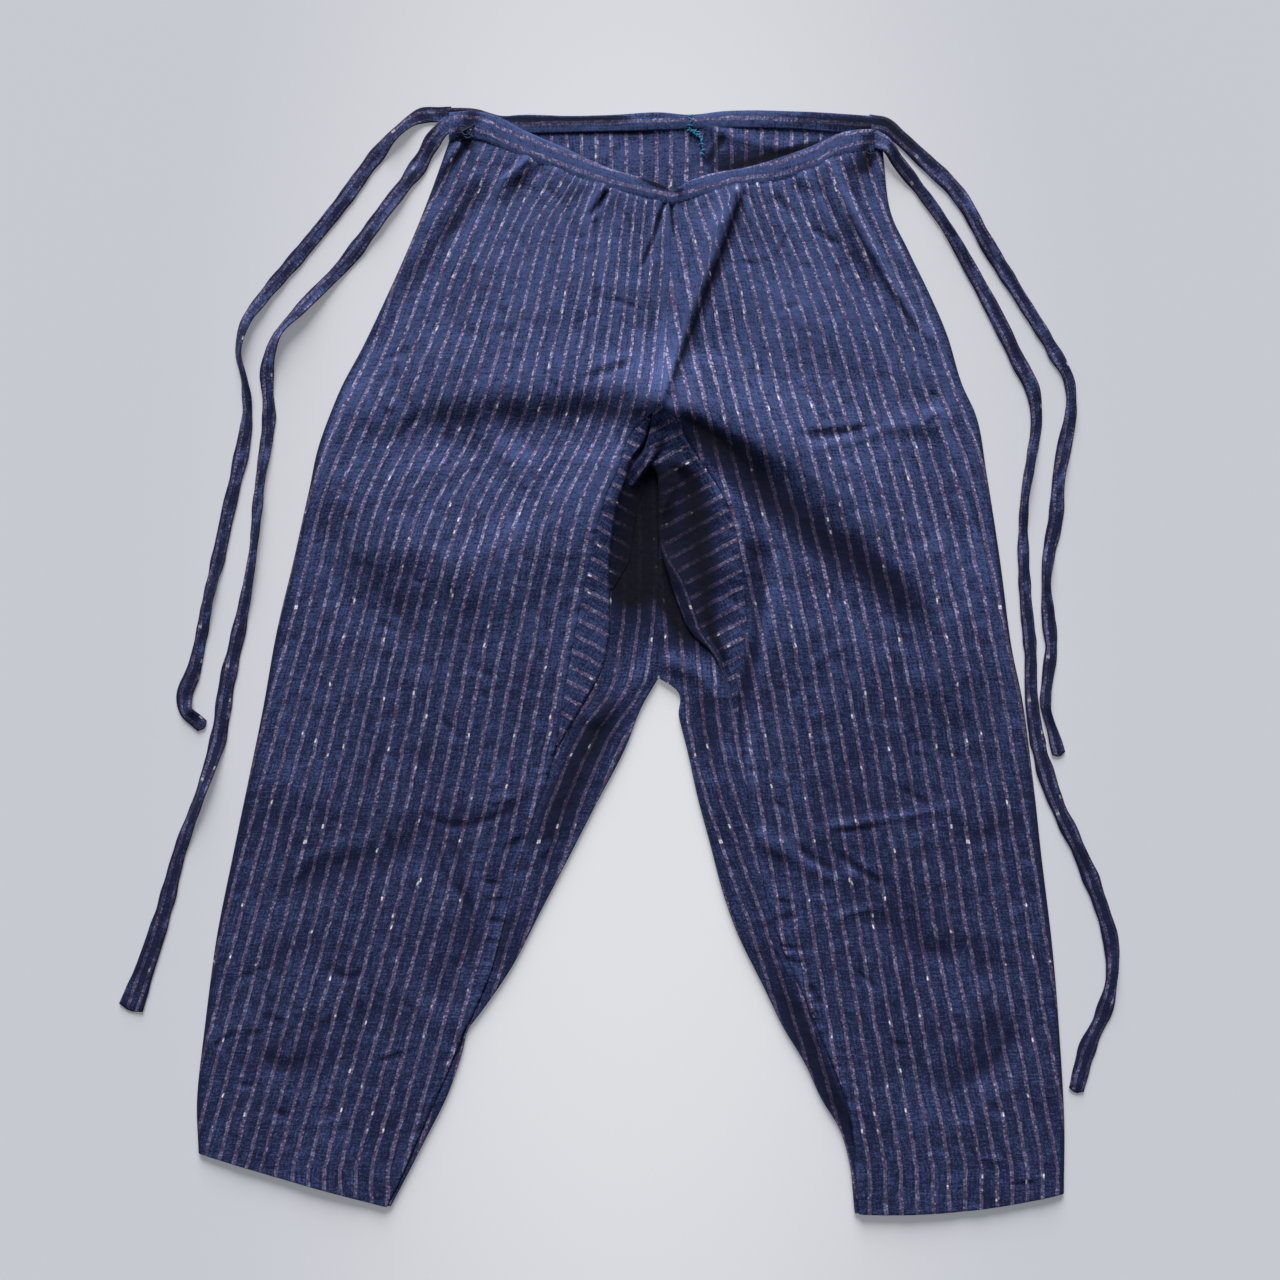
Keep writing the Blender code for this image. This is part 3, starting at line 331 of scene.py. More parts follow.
# Broad soft forms of this cloth, over those of the solids
FORMS = folds(
    # Left thigh, the swell under the valley
    ([(-248, 170), (-206, 121), (-160, 83), (-109, 77), (-59, 104), (-15, 163)], 3.4, 6, 60, 96),
    # Left hip, dark valley beside the belly
    ([(-128, 398), (-138, 385), (-150, 368), (-161, 351),
      (-176, 331), (-197, 302), (-210, 280)], -1.5, -1.8, 15, 20),
    # Left hip, ridge at the corner
    ([(-173, 390), (-160, 415), (-146, 434)], 0.6, 1.6, 7, 6),
    # Belly over the left valley
    ([(-217, 218), (-168, 235), (-109, 243), (-50, 245), (8, 240)], 1, 2.5, 34, 70),
    ([(-235, 178), (-168, 188), (-109, 193), (-50, 193), (5, 191)], -1.4, -2.6, 26, 34),
    # Right front, long slope from the crotch
    ([(29, 220), (88, 212), (151, 180), (210, 122), (248, 62), (277, 7)], 4, 6, 60, 80),
    # Right front, long fold
    ([(26, 218), (42, 268), (59, 314), (76, 356), (90, 393)], 3.4, 3.8, 5, 22),
    # Right hip fold
    ([(167, 417), (183, 385), (196, 360), (221, 316), (250, 275)], 0.5, 1.4, 4.5, 11),
    # Left leg, inner valley
    ([(-147, -270), (-128, -224), (-109, -182), (-92, -131)], -3.2, -1.2, 26, 34),
    # Left shin, dark hollow
    ([(-294, -198), (-252, -172), (-197, -156)], -1, -2.2, 30, 20),
    # Left shin, swell
    ([(-252, -282), (-193, -270), (-160, -291)], 1.6, 1, 28, 46),
    # Right leg, valley beside the inseam
    ([(109, 87), (102, 37), (97, -22), (96, -56)], -3.2, -1.6, 22, 16),
    # Right knee, swell
    ([(126, 37), (176, 20), (252, -14)], 2.4, 2.8, 50, 40),
    # Right shin
    ([(193, -198), (231, -240), (298, -249)], -2, -1.6, 36, 28),
    # Right shin, lower
    ([(227, -350), (269, -362), (315, -316)], -1.8, -2, 26, 34),
    # Belly, left swell
    ([(-160, 280), (-92, 306), (-25, 297)], 1.6, 2.2, 60, 70),
    # Belly, right swell
    ([(109, 306), (168, 297), (227, 264)], 2.4, 1.2, 60, 70),
    # Left knee fold
    ([(-319, -81), (-252, -114), (-176, -121)], 0.6, 1.8, 26, 30),
    # Right knee fold
    ([(134, -146), (227, -141), (311, -123)], 1.4, 0.6, 24, 34),
    # Waist, first pleat on the left, with its hollow
    ([(-109, 398), (-106, 405), (-97, 413), (-86, 421)], 0.5, 2.4, 2.8, 8),
    ([(-104, 385), (-98, 396), (-89, 406), (-76, 415)], -0.4, -1.7, 8, 11),
    # Waist, second pleat on the left, and the line below it
    ([(-36, 380), (-29, 387), (-21, 399)], 0.4, 2.2, 2.6, 8),
    ([(-34, 375), (-26, 384), (-18, 395)], -0.5, -1.4, 4, 6),
    ([(-29, 292), (-28, 335), (-29, 371)], -0.8, -1.8, 3, 4),
    # Waist, box pleat at the centre
    ([(8, 332), (14, 344), (18, 353), (24, 373), (29, 387)], -1, -2.6, 3.2, 3.6),
    ([(37, 359), (35, 386)], -1, -2.2, 3),
    # Waist, right branch of the long fold
    ([(90, 395), (100, 374)], 1.8, 0.6, 4, 6),
)
CREASES = folds(
    # Left corner
    ([(-165, 399), (-150, 419), (-134, 438)], -0.8, -0.7, 5),
    ([(-195, 309), (-179, 327), (-162, 350), (-143, 370), (-123, 395), (-112, 416)], -0.3, -0.6, 11, 12),
    # Left front, upper
    ([(-109, 401), (-99, 408), (-87, 416)], 1.2, 1.8, 5, 8),
    ([(-94, 402), (-84, 399), (-76, 391)], -0.7, -0.5, 3, 5),
    ([(-74, 401), (-62, 394), (-56, 384)], -0.6, -0.4, 4),
    ([(-106, 368), (-93, 357), (-86, 346)], -0.5, -0.5, 5),
    ([(-8, 383), (-1, 372), (0, 356)], -0.6, -0.4, 3, 4),
    ([(-36, 356), (-53, 362)], -0.5, -0.3, 4),
    ([(-31, 379), (-25, 388), (-19, 397)], -0.8, -1, 4, 5),
    ([(25, 378), (25, 359)], -0.7, -0.4, 3, 4),
    ([(15, 348), (10, 314)], -0.8, -0.4, 4),
    ([(20, 294), (14, 267)], -0.9, -0.3, 5),
    ([(-25, 306), (-3, 302), (13, 294)], -0.5, -0.8, 3, 4),
    ([(-45, 282), (-39, 289), (-27, 292)], -0.4, -0.5, 3, 4),
    ([(-105, 287), (-89, 268)], -0.5, -0.4, 9),
    ([(-38, 237), (-15, 246), (8, 254)], -1, -0.9, 6, 7),
    ([(-71, 239), (-53, 227)], -0.5, -0.3, 3, 4),
    ([(-206, 257), (-176, 264)], -0.5, -0.3, 5, 6),
    ([(-207, 240), (-190, 241)], -0.5, -0.3, 4, 5),
    # Left front, valley
    ([(-208, 212), (-197, 210)], -0.9, -0.9, 5, 6),
    ([(-195, 186), (-185, 201), (-173, 212)], -0.6, -0.9, 5, 6),
    # Left front, rise
    ([(-244, 163), (-217, 129), (-185, 100), (-139, 86), (-103, 107), (-63, 154)], 1, 1.6, 70, 26),
    # Left leg, dent
    ([(-213, 54), (-200, 75), (-183, 82), (-170, 73)], -0.35, -0.35, 14, 10),
    ([(-186, 78), (-171, 63)], -0.6, -0.5, 3, 4),
    ([(-210, 35), (-193, 25)], -0.6, -0.4, 4, 5),
    ([(-203, 44), (-166, 54)], -0.3, -0.3, 16),
    # Left leg, middle
    ([(-131, -2), (-111, -14)], -0.6, -0.4, 5, 6),
    ([(-81, -4), (-73, 13)], -0.5, -0.4, 4),
    ([(-160, -44), (-137, -67)], -0.6, -0.4, 4, 6),
    ([(-300, -108), (-289, -77), (-282, -44), (-277, -22)], -0.4, -0.2, 5, 6),
    ([(-176, -118), (-161, -133), (-139, -136), (-119, -131), (-91, -119)], -0.9, -0.6, 5, 6),
    ([(-123, -116), (-89, -110)], 0.7, 0.5, 5, 7),
    ([(-109, -157), (-87, -145)], -0.8, -0.7, 5),
    ([(-76, -159), (-66, -150)], 0.9, 0.6, 5, 6),
    # Left leg, lower
    ([(-162, -146), (-154, -178), (-138, -197), (-128, -234)], -0.9, -0.4, 5, 6),
    ([(-289, -190), (-252, -170), (-207, -157)], -0.4, -0.3, 14, 16),
    ([(-256, -254), (-233, -264), (-218, -250)], -0.8, -0.6, 4, 5),
    ([(-220, -269), (-207, -285)], -0.5, -0.4, 4),
    ([(-336, -269), (-314, -258), (-294, -254)], -0.6, -0.4, 4),
    ([(-353, -324), (-328, -307)], -0.6, -0.5, 4),
    ([(-307, -296), (-284, -303)], -0.8, -0.5, 4, 5),
    ([(-321, -311), (-306, -309)], -0.6, -0.4, 3, 4),
    ([(-312, -326), (-286, -338), (-259, -329)], -0.8, -0.6, 12, 10),
    ([(-331, -352), (-309, -355)], -0.7, -0.5, 4),
    ([(-299, -376), (-286, -380)], -0.6, -0.5, 4, 5),
    ([(-213, -336), (-199, -330), (-183, -327)], -0.7, -0.6, 4, 5),
    ([(-192, -282), (-176, -296)], -0.6, -0.4, 4),
    ([(-186, -392), (-168, -392)], -0.6, -0.4, 4, 5),
    # Right front, waist
    ([(95, 393), (104, 380)], 0.9, 0.4, 4),
    ([(119, 396), (141, 371)], -1.3, -0.6, 5, 6),
    ([(134, 405), (158, 390)], -0.8, -0.6, 10, 8),
    ([(157, 401), (175, 369)], -0.9, -0.7, 4, 5),
    ([(148, 368), (178, 349)], -0.9, -0.7, 4, 5),
    ([(133, 363), (126, 344)], -0.7, -0.5, 4),
    ([(91, 338), (108, 334)], -0.5, -0.4, 3, 4),
    ([(122, 296), (145, 302)], -0.4, -0.5, 4),
    ([(153, 290), (185, 301)], -0.5, -0.5, 10),
    # Right front, notch
    ([(250, 228), (264, 223)], -0.7, -0.6, 4),
    ([(247, 199), (261, 208)], -1, -0.8, 4, 5),
    ([(263, 180), (277, 156), (287, 133), (300, 89), (306, 45)], -1.2, -0.4, 5),
    # Right front, crease
    ([(139, 190), (176, 194), (213, 201)], -1.6, -0.8, 6),
    ([(144, 179), (178, 185), (220, 197)], 0.8, 0.5, 6, 8),
    # Right leg, seam
    ([(125, 93), (113, 64), (107, 31), (101, -3), (95, -32), (91, -66), (95, -99)], -1.4, -1, 9, 11),
    # Right leg, middle
    ([(226, -103), (239, -112), (254, -121)], -0.9, -0.5, 4, 5),
    ([(237, -74), (250, -82)], -0.5, -0.4, 4),
    ([(147, -139), (185, -133), (244, -125), (284, -117)], 0.9, 0.6, 6, 9),
    ([(171, -142), (207, -138)], -0.9, -0.6, 3, 4),
    ([(116, -114), (138, -126)], -0.8, -0.5, 4, 5),
    ([(265, -130), (292, -145), (323, -136)], -0.7, -0.5, 14, 12),
    ([(143, -9), (166, 10), (195, 20)], 0.5, 0.4, 7, 9),
    # Right leg, lower
    ([(170, -156), (191, -172), (207, -182), (226, -186)], -1.3, -0.5, 5, 6),
    ([(134, -147), (151, -162), (175, -177)], -1.2, -0.7, 5, 6),
    ([(234, -198), (248, -236), (284, -245)], -0.9, -0.6, 16, 12),
    ([(168, -217), (186, -208), (217, -206)], 0.7, 0.5, 5, 8),
    ([(186, -256), (208, -272)], -0.7, -0.5, 4),
    ([(316, -291), (323, -311), (298, -341), (273, -355)], -0.9, -0.6, 12, 14),
    ([(301, -368), (320, -382)], -0.7, -0.4, 5, 6),
    ([(215, -316), (234, -323)], -0.6, -0.5, 5),
    ([(318, -437), (343, -435)], -0.8, -0.6, 3),
    ([(290, -413), (318, -418)], 0.5, 0.4, 4, 5),
    # Right leg, inner
    ([(148, -267), (156, -279), (161, -287)], -1.2, -0.9, 5),
    ([(121, -198), (139, -202)], -0.7, -0.5, 4),
    ([(119, -214), (143, -212)], -0.6, -0.5, 3, 4),
    ([(124, -237), (150, -240)], -0.7, -0.5, 3, 4),
    ([(126, -247), (148, -252)], -0.6, -0.5, 3, 4),
    # Left leg, inner
    ([(-123, -183), (-106, -187)], -0.7, -0.5, 3, 4),
    ([(-121, -200), (-99, -198)], -0.7, -0.5, 3, 4),
    ([(-123, -215), (-102, -217)], -0.8, -0.5, 3, 4),
    ([(-124, -232), (-108, -235)], -0.6, -0.5, 3, 4),
)
# Where the cloth is tucked under a fold, the stripes on its left are out of line by these rises
TUCKED = folds(
    ([(32, 233), (48, 284), (64, 332), (78, 379), (88, 399)], 3, 8, 0.4, 46),
    ([(250, 276), (227, 310), (206, 345), (184, 380)], 2, 4, 0.4, 24),
)
# Crumple: size across and along, depth, and a number that sets the pattern
PUCKERS = [(46.0, 40.0, 1.3, 21), (24.0, 22.0, 0.75, 22), (12.0, 11.5, 0.38, 23), (6.5, 6.2, 0.20, 24)]

# Painted shade and painted highlights: above zero the cloth is darker, and below zero it is paler
SHADES = folds(
    # Slope from the crotch down the right thigh
    ([(29, 212), (53, 195), (80, 175), (106, 154), (134, 131),
      (168, 102), (202, 80), (234, 52), (252, 20)], 1.15, 0.75, 25.2, 20.2),
    ([(40, 210), (73, 193), (101, 181), (126, 166)], 0.7, 0.5, 21.8, 5.9),
    # Valley over the left thigh
    ([(-235, 191), (-168, 206), (-109, 213), (-59, 215), (-8, 212), (18, 212)], 0.12, 0.42, 21.8),
    # Left hip
    ([(-119, 408), (-138, 385), (-153, 363), (-173, 334), (-197, 297)], 0.4, 0.22, 20.2),
    ([(-129, 396), (-141, 381), (-153, 364), (-161, 353)], 0.3, 0.2, 7.6),
    # Left corner
    ([(-166, 390), (-150, 420), (-133, 445)], 0.4, 0.9, 7.6, 6.7),
    ([(-141, 432), (-129, 452), (-124, 464)], 0.5, 0.7, 8.4),
    # Waist pleats
    ([(-107, 380), (-100, 395), (-89, 406), (-72, 415)], 0.1, 0.25, 9.2, 8.4),
    ([(-107, 401), (-97, 411), (-86, 419)], 0.2, 0.4, 3.4, 1.3),
    ([(-34, 376), (-28, 385), (-20, 397)], 0.6, 0.8, 2.2, 1.8),
    ([(9, 333), (14, 344), (18, 353), (24, 373), (29, 387)], 0.7, 1.1, 2.7),
    ([(37, 358), (35, 386)], 0.4, 1, 2.5),
    ([(-59, 385), (-49, 395), (-34, 400)], 0.2, 0.3, 7.6),
    # Long fold
    ([(29, 218), (47, 268), (64, 314), (81, 356), (92, 391)], 0.5, 0.25, 7.6, 3.4),
    ([(29, 222), (48, 269), (65, 314), (81, 356), (92, 390)], 0.9, 0.9, 2.2, 1.3),
    ([(91, 393), (99, 374)], 0.7, 0.3, 3.4),
    # Right hip fold
    ([(167, 413), (179, 385), (192, 360), (217, 316), (245, 275)], 0.3, 0.9, 4.2, 2.5),
    ([(175, 378), (193, 343), (210, 312)], 0.2, 0.3, 16.8, 5.9),
    # Right corner
    ([(181, 406), (198, 432), (207, 458)], 0.5, 1.4, 11.8, 10.9),
    ([(195, 410), (200, 423), (207, 438)], 1, 1.7, 8.4, 7.6),
    # Left thigh and knee
    ([(-286, 138), (-210, 79), (-151, 41)], 0.1, 0.2, 47),
    ([(-147, -144), (-141, -182), (-134, -224), (-128, -253)], 0.35, 0.15, 7.6, 11.8),
    ([(-175, -124), (-134, -128), (-84, -116)], 0.15, 0.2, 8.4),
    # Lower left leg
    ([(-309, -316), (-277, -333), (-255, -308)], 0.2, 0.2, 25.2),
    ([(-294, -190), (-244, -170), (-193, -156)], 0.15, 0.2, 20.2, 16.8),
    # Right leg beside the inseam
    ([(102, 133), (102, 79), (94, 20), (84, -64)], 0.45, 0.4, 18.5, 20.2),
    ([(143, -98), (193, -114), (252, -110)], 0.14, 0.14, 25.2),
    # Lower right leg
    ([(252, -358), (290, -333), (311, -282)], 0.2, 0.16, 25.2),
    ([(202, -182), (231, -219), (277, -224)], 0.14, 0.16, 28.6),
    # Painted highlights on the swells
    ([(-109, 306), (-59, 356), (-8, 339)], -0.12, -0.16, 50.4),
    ([(-168, 348), (-118, 377), (-59, 371)], -0.14, -0.16, 42),
    ([(92, 272), (151, 306), (210, 280)], -0.18, -0.14, 50.4),
    ([(-126, 129), (-71, 133), (-25, 159)], -0.2, -0.15, 37),
    ([(21, 226), (35, 201)], -0.2, -0.2, 10.1),
)
# Painted shade and highlights on the gussets
GUSSET_SHADES = folds(
    # Under the crotch
    ([(18, 175), (24, 181), (29, 188)], 1, 0.8, 5),
    ([(8, 195), (6, 183), (0, 173)], 0.5, 0.8, 3.4),
    # Lit rim of the fold
    ([(14, 169), (21, 170), (29, 168)], -0.7, -0.5, 2.2, 1.8),
    ([(29, 212), (32, 200), (39, 186)], -0.25, -0.2, 6.7),
    ([(59, 175), (72, 146), (82, 112)], -0.2, -0.15, 4.2),
)
# Painted shade and highlights on the back's inside, between the bands
INSIDE_SHADES = folds(
    # Under the back band
    ([(-105, 448), (-34, 448), (29, 448)], 1.5, 1.3, 3.4),
    ([(63, 416), (97, 421), (131, 431), (168, 440)], 1.2, 2, 6.7, 5),
    # Folds between the bands
    ([(64, 420), (72, 435), (82, 448)], 1.3, 0.9, 5),
    ([(63, 425), (97, 427), (131, 435)], 0.8, 0.7, 10.1, 8.4),
    ([(-121, 447), (-105, 443), (-84, 440)], 1, 0.7, 5),
    ([(-25, 415), (-15, 430), (-4, 440)], 0.5, 0.3, 4.2),
    # Painted highlight
    ([(-42, 435), (8, 432), (50, 432)], -0.18, -0.18, 11.8),
)
# Painted shade in the crotch hollow and on the wraps round the inner legs
HOLLOW_SHADES = folds(
    # Floor of the hollow
    ([(15, 185), (8, 129), (3, 79), (-2, 32)], 4.2, 1.6, 38.6),
    ([(18, 163), (24, 112), (30, 75), (42, 44), (64, 13)], 3, 2.4, 20.2, 15.1),
    ([(-25, 20), (8, 33), (50, 12)], 0.35, 0.35, 18.5),
    # Left inner leg
    ([(-15, -22), (-27, -56), (-52, -102), (-71, -156)], 0.95, 0.7, 21.8),
    ([(-92, -198), (-126, -257), (-147, -291)], 0.3, 0.3, 16.8),
    # Right inner leg
    ([(59, -22), (64, -47), (69, -89)], 0.35, 0.3, 13.4),
    ([(118, -249), (143, -308), (168, -358), (192, -408)], 0.55, 0.8, 16.8),
)
# Painted shade and highlights on the front band
FRONT_BAND_SHADES = folds(
    # Dark slit above the centre
    ([(5, 411), (25, 401), (49, 396)], 1.7, 1.7, 3.4),
    # Ends
    ([(-150, 440), (-136, 455), (-131, 467)], 0.9, 1.1, 10.1, 6.7),
    ([(192, 432), (203, 442), (213, 452)], 1, 1.3, 8.4),
    # Painted highlights on the rims
    ([(-126, 464), (-76, 441), (-8, 417)], -0.3, -0.3, 2.5),
    ([(50, 410), (109, 423), (176, 445)], -0.25, -0.25, 2.5),
)
# Painted shade on the back band
BACK_BAND_SHADES = folds(
    # Rolled upper edge
    ([(-118, 459), (-59, 458), (8, 459)], 1.6, 1.3, 3.8),
    ([(8, 460), (59, 464)], 0.5, 0.2, 3.4),
    # Ends
    ([(126, 458), (168, 457), (193, 454), (227, 448)], 0.4, 2.2, 10.1),
    ([(-109, 460), (-129, 465), (-160, 464)], 0.9, 1.6, 7.6, 9.2),
)
# Painted shade on the ties
TIE_SHADES = folds(
    # By the waist
    ([(-121, 469), (-141, 469), (-168, 464)], 1.7, 1.1, 10.1),
    ([(-147, 432), (-138, 447), (-131, 458)], 1, 1.2, 6.7),
    ([(197, 464), (218, 453), (242, 427)], 1.7, 0.8, 10.1),
    ([(210, 430), (227, 416), (252, 383)], 1.2, 0.4, 6.7),
    ([(-193, 440), (-227, 398)], 0.4, 0.3, 5.9),
    ([(260, 356), (281, 306)], 0.7, 0.3, 6.7),
    ([(319, 289), (336, 238)], 0.5, 0.3, 7.6),
)

# Tapes: the point of the route, the tape's width there, how far it rolls on its side, and its lift
TIE_FRONT_LEFT = table(
    "x y width roll lift",
    (-152.5, 454, 15, 0, 2.9), (-160, 447, 15, 0, 2.4), (-178, 419, 14), (-208, 379, 13, 12), (-239, 338, 13),
    (-279, 296, 12, 30), (-297, 275, 11, 45), (-304, 255, 12, 20), (-304, 205, 11), (-311, 154, 10, 15),
    (-318, 87, 9, 25), (-329, 29, 11), (-339, -15, 13), (-347, -65, 14), (-359, -104, 11, 30),
    (-379, -158, 11), (-391, -203, 13), (-406, -250, 16), (-421, -292, 20),
)
TIE_BACK_LEFT = table(
    "x y width roll lift",
    (-154.5, 462, 13), (-176, 461, 12), (-195, 448, 10, 25), (-213, 428, 12), (-244, 386, 13),
    (-280, 342, 12), (-307, 310, 12, 10), (-324, 285, 11, 30), (-329, 262, 9, 50), (-324, 238, 8, 40),
    (-322, 214, 9), (-325, 187, 11), (-331, 159, 12), (-338, 129, 12), (-347, 87, 11), (-355, 54, 10, 15),
    (-361, 22, 11), (-368, -8, 12), (-375, -28, 14), (-373, -40, 13, 20), (-365, -48, 12), (-358, -54, 12),
)
TIE_FRONT_RIGHT = table(
    "x y width roll lift",
    (206.8, 440.5, 14, 0, 2.9), (214, 436, 13, 0, 5.0), (225, 422, 12, 0, 2.8), (240, 404, 11),
    (265, 369, 10, 20), (288, 330, 11), (308, 293, 13), (326, 256, 12), (339, 228, 12, 25), (342, 208, 11),
    (337, 170, 9, 20), (332, 140, 8, 35), (331, 115, 8), (333, 54, 11), (337, 10, 11), (338, -30, 11),
    (345, -74, 13), (358, -115, 14), (377, -156, 13, 15), (394, -197, 13), (405, -236, 12),
    (405, -264, 11, 20), (398, -295, 13), (387, -318, 14), (375, -361, 14),
)
TIE_BACK_RIGHT = table(
    "x y width roll lift",
    (204.5, 455, 13), (214, 453, 13), (227, 443, 13), (242, 429, 14), (277, 394, 13), (301, 352, 12, 10),
    (330, 306, 11), (357, 262, 11), (369, 238, 9, 30), (371, 215, 9, 20), (366, 185, 11), (361, 159, 11, 15),
    (358, 120, 13), (353, 95, 12), (350, 72, 8, 35), (352, 40, 11), (354.5, 14, 11), (351.5, -12, 10),
    (349.5, -36, 9, 20), (356, -58, 10), (361.5, -78, 11),
)


def smooth(knots, values):
    """A curve through the values at the knots, its slope at each taken from the neighbours."""
    order = np.argsort(knots)
    knots = np.asarray(knots, float)[order]
    values = np.asarray(values, float)[order]
    slopes = np.gradient(values, knots)

    def at(where):
        where = np.clip(where, knots[0], knots[-1])
        i = np.clip(np.searchsorted(knots, where, side="right") - 1, 0, len(knots) - 2)
        step = knots[i + 1] - knots[i]
        t = (where - knots[i]) / step
        rise = values[i + 1] - values[i]
        bend = t * (1 - t) * ((1 - t) * (slopes[i] * step - rise) - t * (slopes[i + 1] * step - rise))
        return values[i] + t * rise + bend

    return at


def curve(rows, value="x", along="y"):
    """One column of a table as a smooth function of another."""
    return smooth([getattr(row, along) for row in rows], [getattr(row, value) for row in rows])


def walked(points):
    """How far each point lies along the line through them all."""
    steps = np.linalg.norm(np.diff(np.asarray(points, float), axis=0), axis=1)
    return np.concatenate([[0], np.cumsum(steps)])


def ease(t):
    """From 0 to 1 as t does, slower at both ends."""
    t = np.clip(t, 0, 1)
    return t * t * (3 - 2 * t)


def bell(away, reach, power=2):
    """1 in the middle, and almost 0 at twice the reach."""
    return np.exp(-((away / reach) ** power))


def squared(value, power):
    """A sine or cosine bent so that the round of a section turns into a flat strip with round edges."""
    return np.sign(value) * np.abs(value) ** power


def stacked(*parts):
    """Points or cloth measures from their parts, where one may be a single number, row or column."""
    return np.stack(np.broadcast_arrays(*parts), axis=-1)


def to_metres(points):
    return (np.asarray(points, float) - MIDDLE) * METRES


def fold_height(fold, x, y, taper=0.0):
    """How far one fold lifts or sinks the cloth at each point. Its path is rounded before it is measured.

    taper is the share of the length over which it fades at each end.
    """
    marks = np.asarray(fold.path, float)
    steps = walked(marks)
    places = np.linspace(0, steps[-1], max(3, int(steps[-1] / 7) + 2))
    path = np.column_stack([smooth(steps, marks[:, k])(places) for k in (0, 1)])
    rise = np.zeros(x.shape)
    widest = max(fold.steep, fold.gentle)
    low = path.min(axis=0) - widest
    high = path.max(axis=0) + widest
    near = (x > low[0]) & (x < high[0]) & (y > low[1]) & (y < high[1])
    if not near.any():
        return rise
    px, py = x[near], y[near]
    best = np.full(px.shape, np.inf)
    side = np.zeros(px.shape)
    along = np.zeros(px.shape)
    for place, start, end in zip(places, path, path[1:]):
        length = np.hypot(*(end - start))
        ux, uy = (end - start) / length
        t = np.clip((px - start[0]) * ux + (py - start[1]) * uy, 0, length)
        dx = px - start[0] - t * ux
        dy = py - start[1] - t * uy
        away = np.hypot(dx, dy)
        nearer = away < best
        best = np.where(nearer, away, best)
        side = np.where(nearer, dx * uy - dy * ux, side)
        along = np.where(nearer, (place + t) / places[-1], along)
    turned = ease(0.5 + 0.5 * side / np.maximum(best, 1e-6))
    reach = fold.gentle + (fold.steep - fold.gentle) * turned
    height = fold.rise_start + (fold.rise_end - fold.rise_start) * along
    if taper:
        height = height * ease(np.minimum(along, 1 - along) / taper + 0.15)
    rise[near] = height * ease(1 - best / reach)
    return rise


def summed(rows, x, y, taper=0.0):
    """All folds of a table added up."""
    return sum(fold_height(fold, x, y, taper) for fold in rows)


def relief(x, y, rows):
    """The folds together: the highest one counts in full, and the others add a part of their own."""
    heights = np.array([fold_height(fold, x, y) for fold in rows])
    highest = heights.max(axis=0)
    return highest + SHARED_RISE * (heights.sum(axis=0) - highest)


def noise(x, y, seed):
    """Smooth noise from about -0.7 to 0.7, one bump to each unit of length."""
    x, y = np.broadcast_arrays(np.asarray(x, float), np.asarray(y, float))
    left = np.floor(x).astype(np.int64)
    low = np.floor(y).astype(np.int64)
    total = np.zeros(np.shape(x))
    for i in (0, 1):
        for j in (0, 1):
            mixed = (left + i) * 374761393 + (low + j) * 668265263 + seed * 974634777
            mixed = (mixed ^ (mixed >> 13)) * 1274126177
            turn = ((mixed ^ (mixed >> 16)) & 0xFFFF) / 0xFFFF * 2 * np.pi
            dx = x - left - i
            dy = y - low - j
            total += near_weight(dx) * near_weight(dy) * (np.cos(turn) * dx + np.sin(turn) * dy)
    return total


def near_weight(distance):
    """1 at a corner of the noise's grid, and 0 at the next one."""
    t = 1 - np.abs(distance)
    return t**3 * (t * (t * 6 - 15) + 10)


def soft_abs(value):
    """The value without its sign, rounded where it passes zero."""
    return np.sqrt(value**2 + 0.0016)


def puckers(x, y):
    """The crumple of washed cotton: broad swells, and smaller facets that meet in soft ridges and valleys."""
    bx = x + 13 * noise(x / 63, y / 55, 11) + 4 * noise(x / 21, y / 19, 13)
    by = y + 13 * noise(x / 58, y / 60, 12) + 4 * noise(x / 20, y / 22, 14)
    patchy = ease(0.55 + 1.1 * noise(x / 70, y / 64, 5))
    total = 1.3 * noise(bx / 86, by / 58, 1)
    for wide, long, depth, seed in PUCKERS:
        valley, ridge = (soft_abs(noise(bx / wide, by / long, seed + k)) for k in (0, 100))
        total += depth * (valley - ridge * patchy)
    return total


class Leg:
    """The curves of one side. side is -1 on the left and +1 on the right."""

    def __init__(self, side, sections, inseam, fold, lip, waist):
        self.side = side
        self.outer_x = curve(sections, "outer_x", "inner_y")
        self.outer_y = curve(sections, "outer_y", "inner_y")
        self.inseam = curve(CENTRE_FRONT[-1:] + inseam)
        self.fold_x = curve(fold)
        self.lip_line = curve(lip)
        self.waist_y = curve(waist, "y", "x")
        self.hem_y = sections[-1].inner_y
        self.waist_in_y = sections[0].inner_y

    def seam_x(self, y):
        """The front's inner seam: centre front, then the inseam, which keeps inside the inner fold."""
        seam = np.where(np.asarray(y) > CENTRE_FRONT[-1].y, CENTRE_FRONT_X(y), self.inseam(y))
        limit = self.fold_x(y) + self.side * LEAST_WRAP
        inside = np.maximum(seam, limit) if self.side > 0 else np.minimum(seam, limit)
        return np.where(np.asarray(y) < APEX_Y, inside, seam)

    def lip_x(self, y):
        """The gusset's rolled edge, never nearer to the seam than the least width."""
        lip = self.lip_line(y)
        limit = self.seam_x(y) - self.side * LEAST_GUSSET
        return np.minimum(lip, limit) if self.side > 0 else np.maximum(lip, limit)

    def rows(self, step):
        """Heights of the rows of a mesh, from the waist down to the hem."""
        return np.linspace(self.waist_in_y, self.hem_y, int((self.waist_in_y - self.hem_y) / step))


